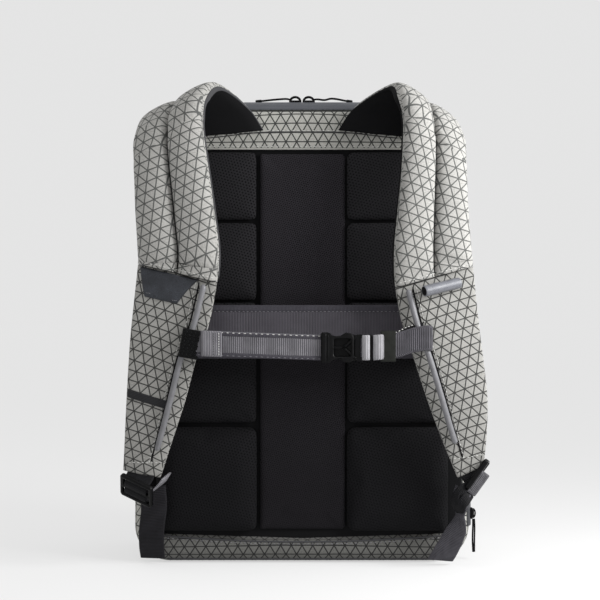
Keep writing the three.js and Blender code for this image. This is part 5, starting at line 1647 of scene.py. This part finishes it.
def build_left_lock():
    centre = vec(-153.5, -48, 74.0)
    right = unit(vec(33.25, -14, -13.75))
    up = vec(0.75, -18, 23.75)
    up = unit(up - right * up.dot(right))
    face = ladder_lock("adjuster_left_lock", centre, right, -up, 35, 25, "adjuster_left")
    if face[1] > 0:
        face = -face
    path = [centre - up * s * 25 + face * lift for s, lift in
            ((-0.4, -2.2), (-0.33, 0.6), (-0.2, 2.6), (-0.06, 2.2), (0.0, 0.9), (0.07, 2.3), (0.22, 2.8),
             (0.34, 0.4), (0.4, -2.2))]
    folded("web_left_tail_fold", path, [right, right], LOWER_WEB, BLACK_WEB, "webbing_pale",
           node="web_tail_left", relief=0.25, wobble=0.3, seed=1.0)
    folded("web_left_end_fold", [vec(-126.5, -41, 86.5), vec(-131, -42.5, 80), vec(-138.5, -43, 73.5)],
           [(0.34, 0.9, 0.26), (0.36, 0.9, 0.2), (0.34, 0.92, 0.2)], 20, PALE, "webbing_pale", relief=0.2)
    folded("web_left_anchor", [vec(-149, -43.5, 96), vec(-150, -47.5, 88), vec(-152, -54, 84)],
           [LEFT.frame(LEFT.last)[3], unit(LEFT.frame(LEFT.last)[3] - right), -right], 26, BLACK_WEB,
           relief=0.2, wobble=0.3, seed=3.0)
    path = [vec(-139.5, -36, 76), vec(-138.6, -33.5, 57), vec(-141.8, -24, 34.5), vec(-142.8, -14, 16.5),
            vec(-142.2, -9, 5.5)]
    folded("web_left_lower_strap", path, [(1, 0.1, 0.1), (1, 0.1, 0), (1, 0, 0), (1, -0.1, 0),
                                          (0.96, -0.2, 0)],
           LOWER_WEB, LOWER[-1], node="web_lower_left", relief=0.28, wobble=0.8, seed=2.0)


# Slack webbing in front of the right lock: points, the side at each of them, and the width. It is made of
# black webbing as painted shade of the lower webbing's shaded face.
CRUMPLES = [
    ([(155, -48, 79), (149, -53, 76), (143.5, -52, 70), (142.5, -48, 62)],
     [(0.3, -0.2, -0.93), (0.45, -0.3, -0.8), (0.7, -0.3, -0.6), (0.8, -0.5, -0.3)], 9),
    ([(156, -51, 72), (151, -55.5, 66), (146.5, -54, 60), (147.5, -48, 53)],
     [(0.5, -0.2, -0.8), (0.6, -0.1, -0.75), (0.8, -0.3, -0.4), (0.8, -0.6, 0.0)], 10),
    ([(147, -51, 76), (142.5, -53, 70), (142, -51.5, 62), (146, -46, 54)],
     [(0.7, -0.6, -0.3), (0.8, -0.6, 0.0), (0.8, -0.5, 0.2), (0.7, -0.7, 0.2)], 8),
]


def build_right_lock():
    high, low = vec(172.0, -46, 101.0), vec(154.2, -46, 76.4)
    along = unit(high - low)
    middle = (high + low) / 2
    out = unit(vec(along[2], 0, -along[0]))
    down = unit(out * 0.22 + Y)
    ladder_lock("adjuster_right_lock", middle, along, down, 33, 21, "adjuster_right")
    base = middle - along * 6.5
    path = [base + out * a + vec(0, b, 0) for a, b in
            ((-1, 6.5), (3.5, 6), (7.2, 3.8), (8.8, 0), (8, -3.8), (4.6, -6.6), (0, -7.6))]
    folded("web_right_tail_fold", path, [along, along], LOWER_WEB, BARREL, "webbing_pale",
           node="web_tail_right", relief=0.35, wobble=0.3, seed=1.0)
    path = [vec(150, -44, 74), vec(147, -46, 66), vec(147, -44, 58.5), vec(147.6, -39, 49.5),
            vec(144, -33, 34), vec(136.5, -24, 16), vec(131.5, -14, 4.4)]
    sides = [(0.5, -0.8, -0.3), (0.5, -0.82, -0.25), (0.4, -0.9, -0.1), (0.2, -0.97, 0.05),
             (0.72, -0.68, -0.1), (0.9, -0.4, -0.1), (0.98, -0.15, -0.06)]
    folded("web_right_lower_strap", path, sides, LOWER_WEB, LOWER[1], node="web_lower_right",
           relief=0.28, wobble=0.6, seed=4.0)
    across = RIGHT.frame(RIGHT.last)[3]
    folded("web_right_anchor", [vec(157, -43.5, 97), vec(159.5, -46, 91), vec(162, -46, 87)],
           [across, unit(across + along), along], 26, BLACK_WEB, relief=0.2, wobble=0.3, seed=3.0)
    for k, (path, sides, width) in enumerate(CRUMPLES):
        folded(f"web_right_crumple_{k}", [vec(*p) for p in path], sides, width, BLACK_WEB, relief=0.25,
               wobble=0.8, seed=7.0 + 2 * k)


build_bag()
build_board()
build_pads()
build_strips()
build_zips()
for strap in (LEFT, RIGHT):
    build_upper(strap)
    build_lower(strap)
    build_rail(strap)
    build_joins(strap)
build_patch()
build_roll()
build_elastic()
build_band()
build_chest()
build_left_lock()
build_right_lock()


# Camera, floor and light


FLOOR_TONE = 0.27
FLOOR_GLOW = 0.57


def build_stage():
    """A pale floor, far wider than any view."""
    rings = [0.0, 0.3, 0.8, 2.0, 6.0, 20.0, 60.0]
    sides = 64
    points = [(0.0, 0.0, 0.0)]
    for r in rings[1:]:
        points += [(r * math.cos(2 * math.pi * k / sides), r * math.sin(2 * math.pi * k / sides), 0.0)
                   for k in range(sides)]
    faces = [(0, 1 + k, 1 + (k + 1) % sides) for k in range(sides)]
    for ring in range(len(rings) - 2):
        a = 1 + ring * sides
        faces += [(a + k, a + sides + k, a + sides + (k + 1) % sides, a + (k + 1) % sides)
                  for k in range(sides)]
    mesh = bpy.data.meshes.new("studio_floor")
    mesh.from_pydata(points, [], faces)
    s = Shader("floor_paper", (FLOOR_TONE,) * 3, 0.95, specular_ior_level=0.0, emission_color=(1, 1, 1, 1),
               emission_strength=FLOOR_GLOW)
    point, _ = s.place()
    s.bump(s.noise(point, 0.4, 3.0), 0.05, 0.0002)
    mesh.materials.append(s.material)
    floor = bpy.data.objects.new("studio_floor", mesh)
    SCENE.collection.objects.link(floor)


def add_light(name, place, target, size, energy):
    lamp = bpy.data.lights.new(name, "AREA")
    lamp.shape = "DISK"
    lamp.size = size
    lamp.energy = energy
    made = bpy.data.objects.new(name, lamp)
    made.location = place
    made.rotation_mode = "QUATERNION"
    made.rotation_quaternion = (Vector(target) - Vector(place)).to_track_quat("-Z", "Y")
    made.visible_camera = False
    SCENE.collection.objects.link(made)


# The camera stands level in front of the harness, a little left of the middle
CAMERA_DISTANCE = 1.5
CAMERA_HEIGHT = 0.2339
CAMERA_LEFT = 0.0019
FOCAL_LENGTH = 93.88
LENS_SHIFT = 0.03
WORLD_LIGHT = 0.78


def build_camera():
    lens = bpy.data.cameras.new("photo_camera")
    lens.sensor_width = 36
    lens.lens = FOCAL_LENGTH
    lens.shift_y = LENS_SHIFT
    lens.clip_start = 0.05
    lens.clip_end = 50
    made = bpy.data.objects.new("photo_camera", lens)
    made.location = (SHIFT[0] - CAMERA_LEFT, SHIFT[1] - CAMERA_DISTANCE, CAMERA_HEIGHT)
    made.rotation_euler = (math.radians(90), 0, 0)
    SCENE.collection.objects.link(made)
    SCENE.camera = made


def build_light():
    world = bpy.data.worlds.new("studio")
    world.use_nodes = True
    light = world.node_tree.nodes["Background"].inputs
    light["Color"].default_value = (1, 1, 1, 1)
    light["Strength"].default_value = WORLD_LIGHT
    SCENE.world = world
    add_light("key", (0.6, -0.36, 0.47), (0.06, -0.05, 0.27), 0.4, 8.3)
    add_light("top", (-0.15, -0.45, 1.25), (0, -0.03, 0.35), 0.7, 1.7)
    SCENE.view_settings.view_transform = "Standard"
    SCENE.view_settings.look = "None"


build_stage()
build_camera()
build_light()
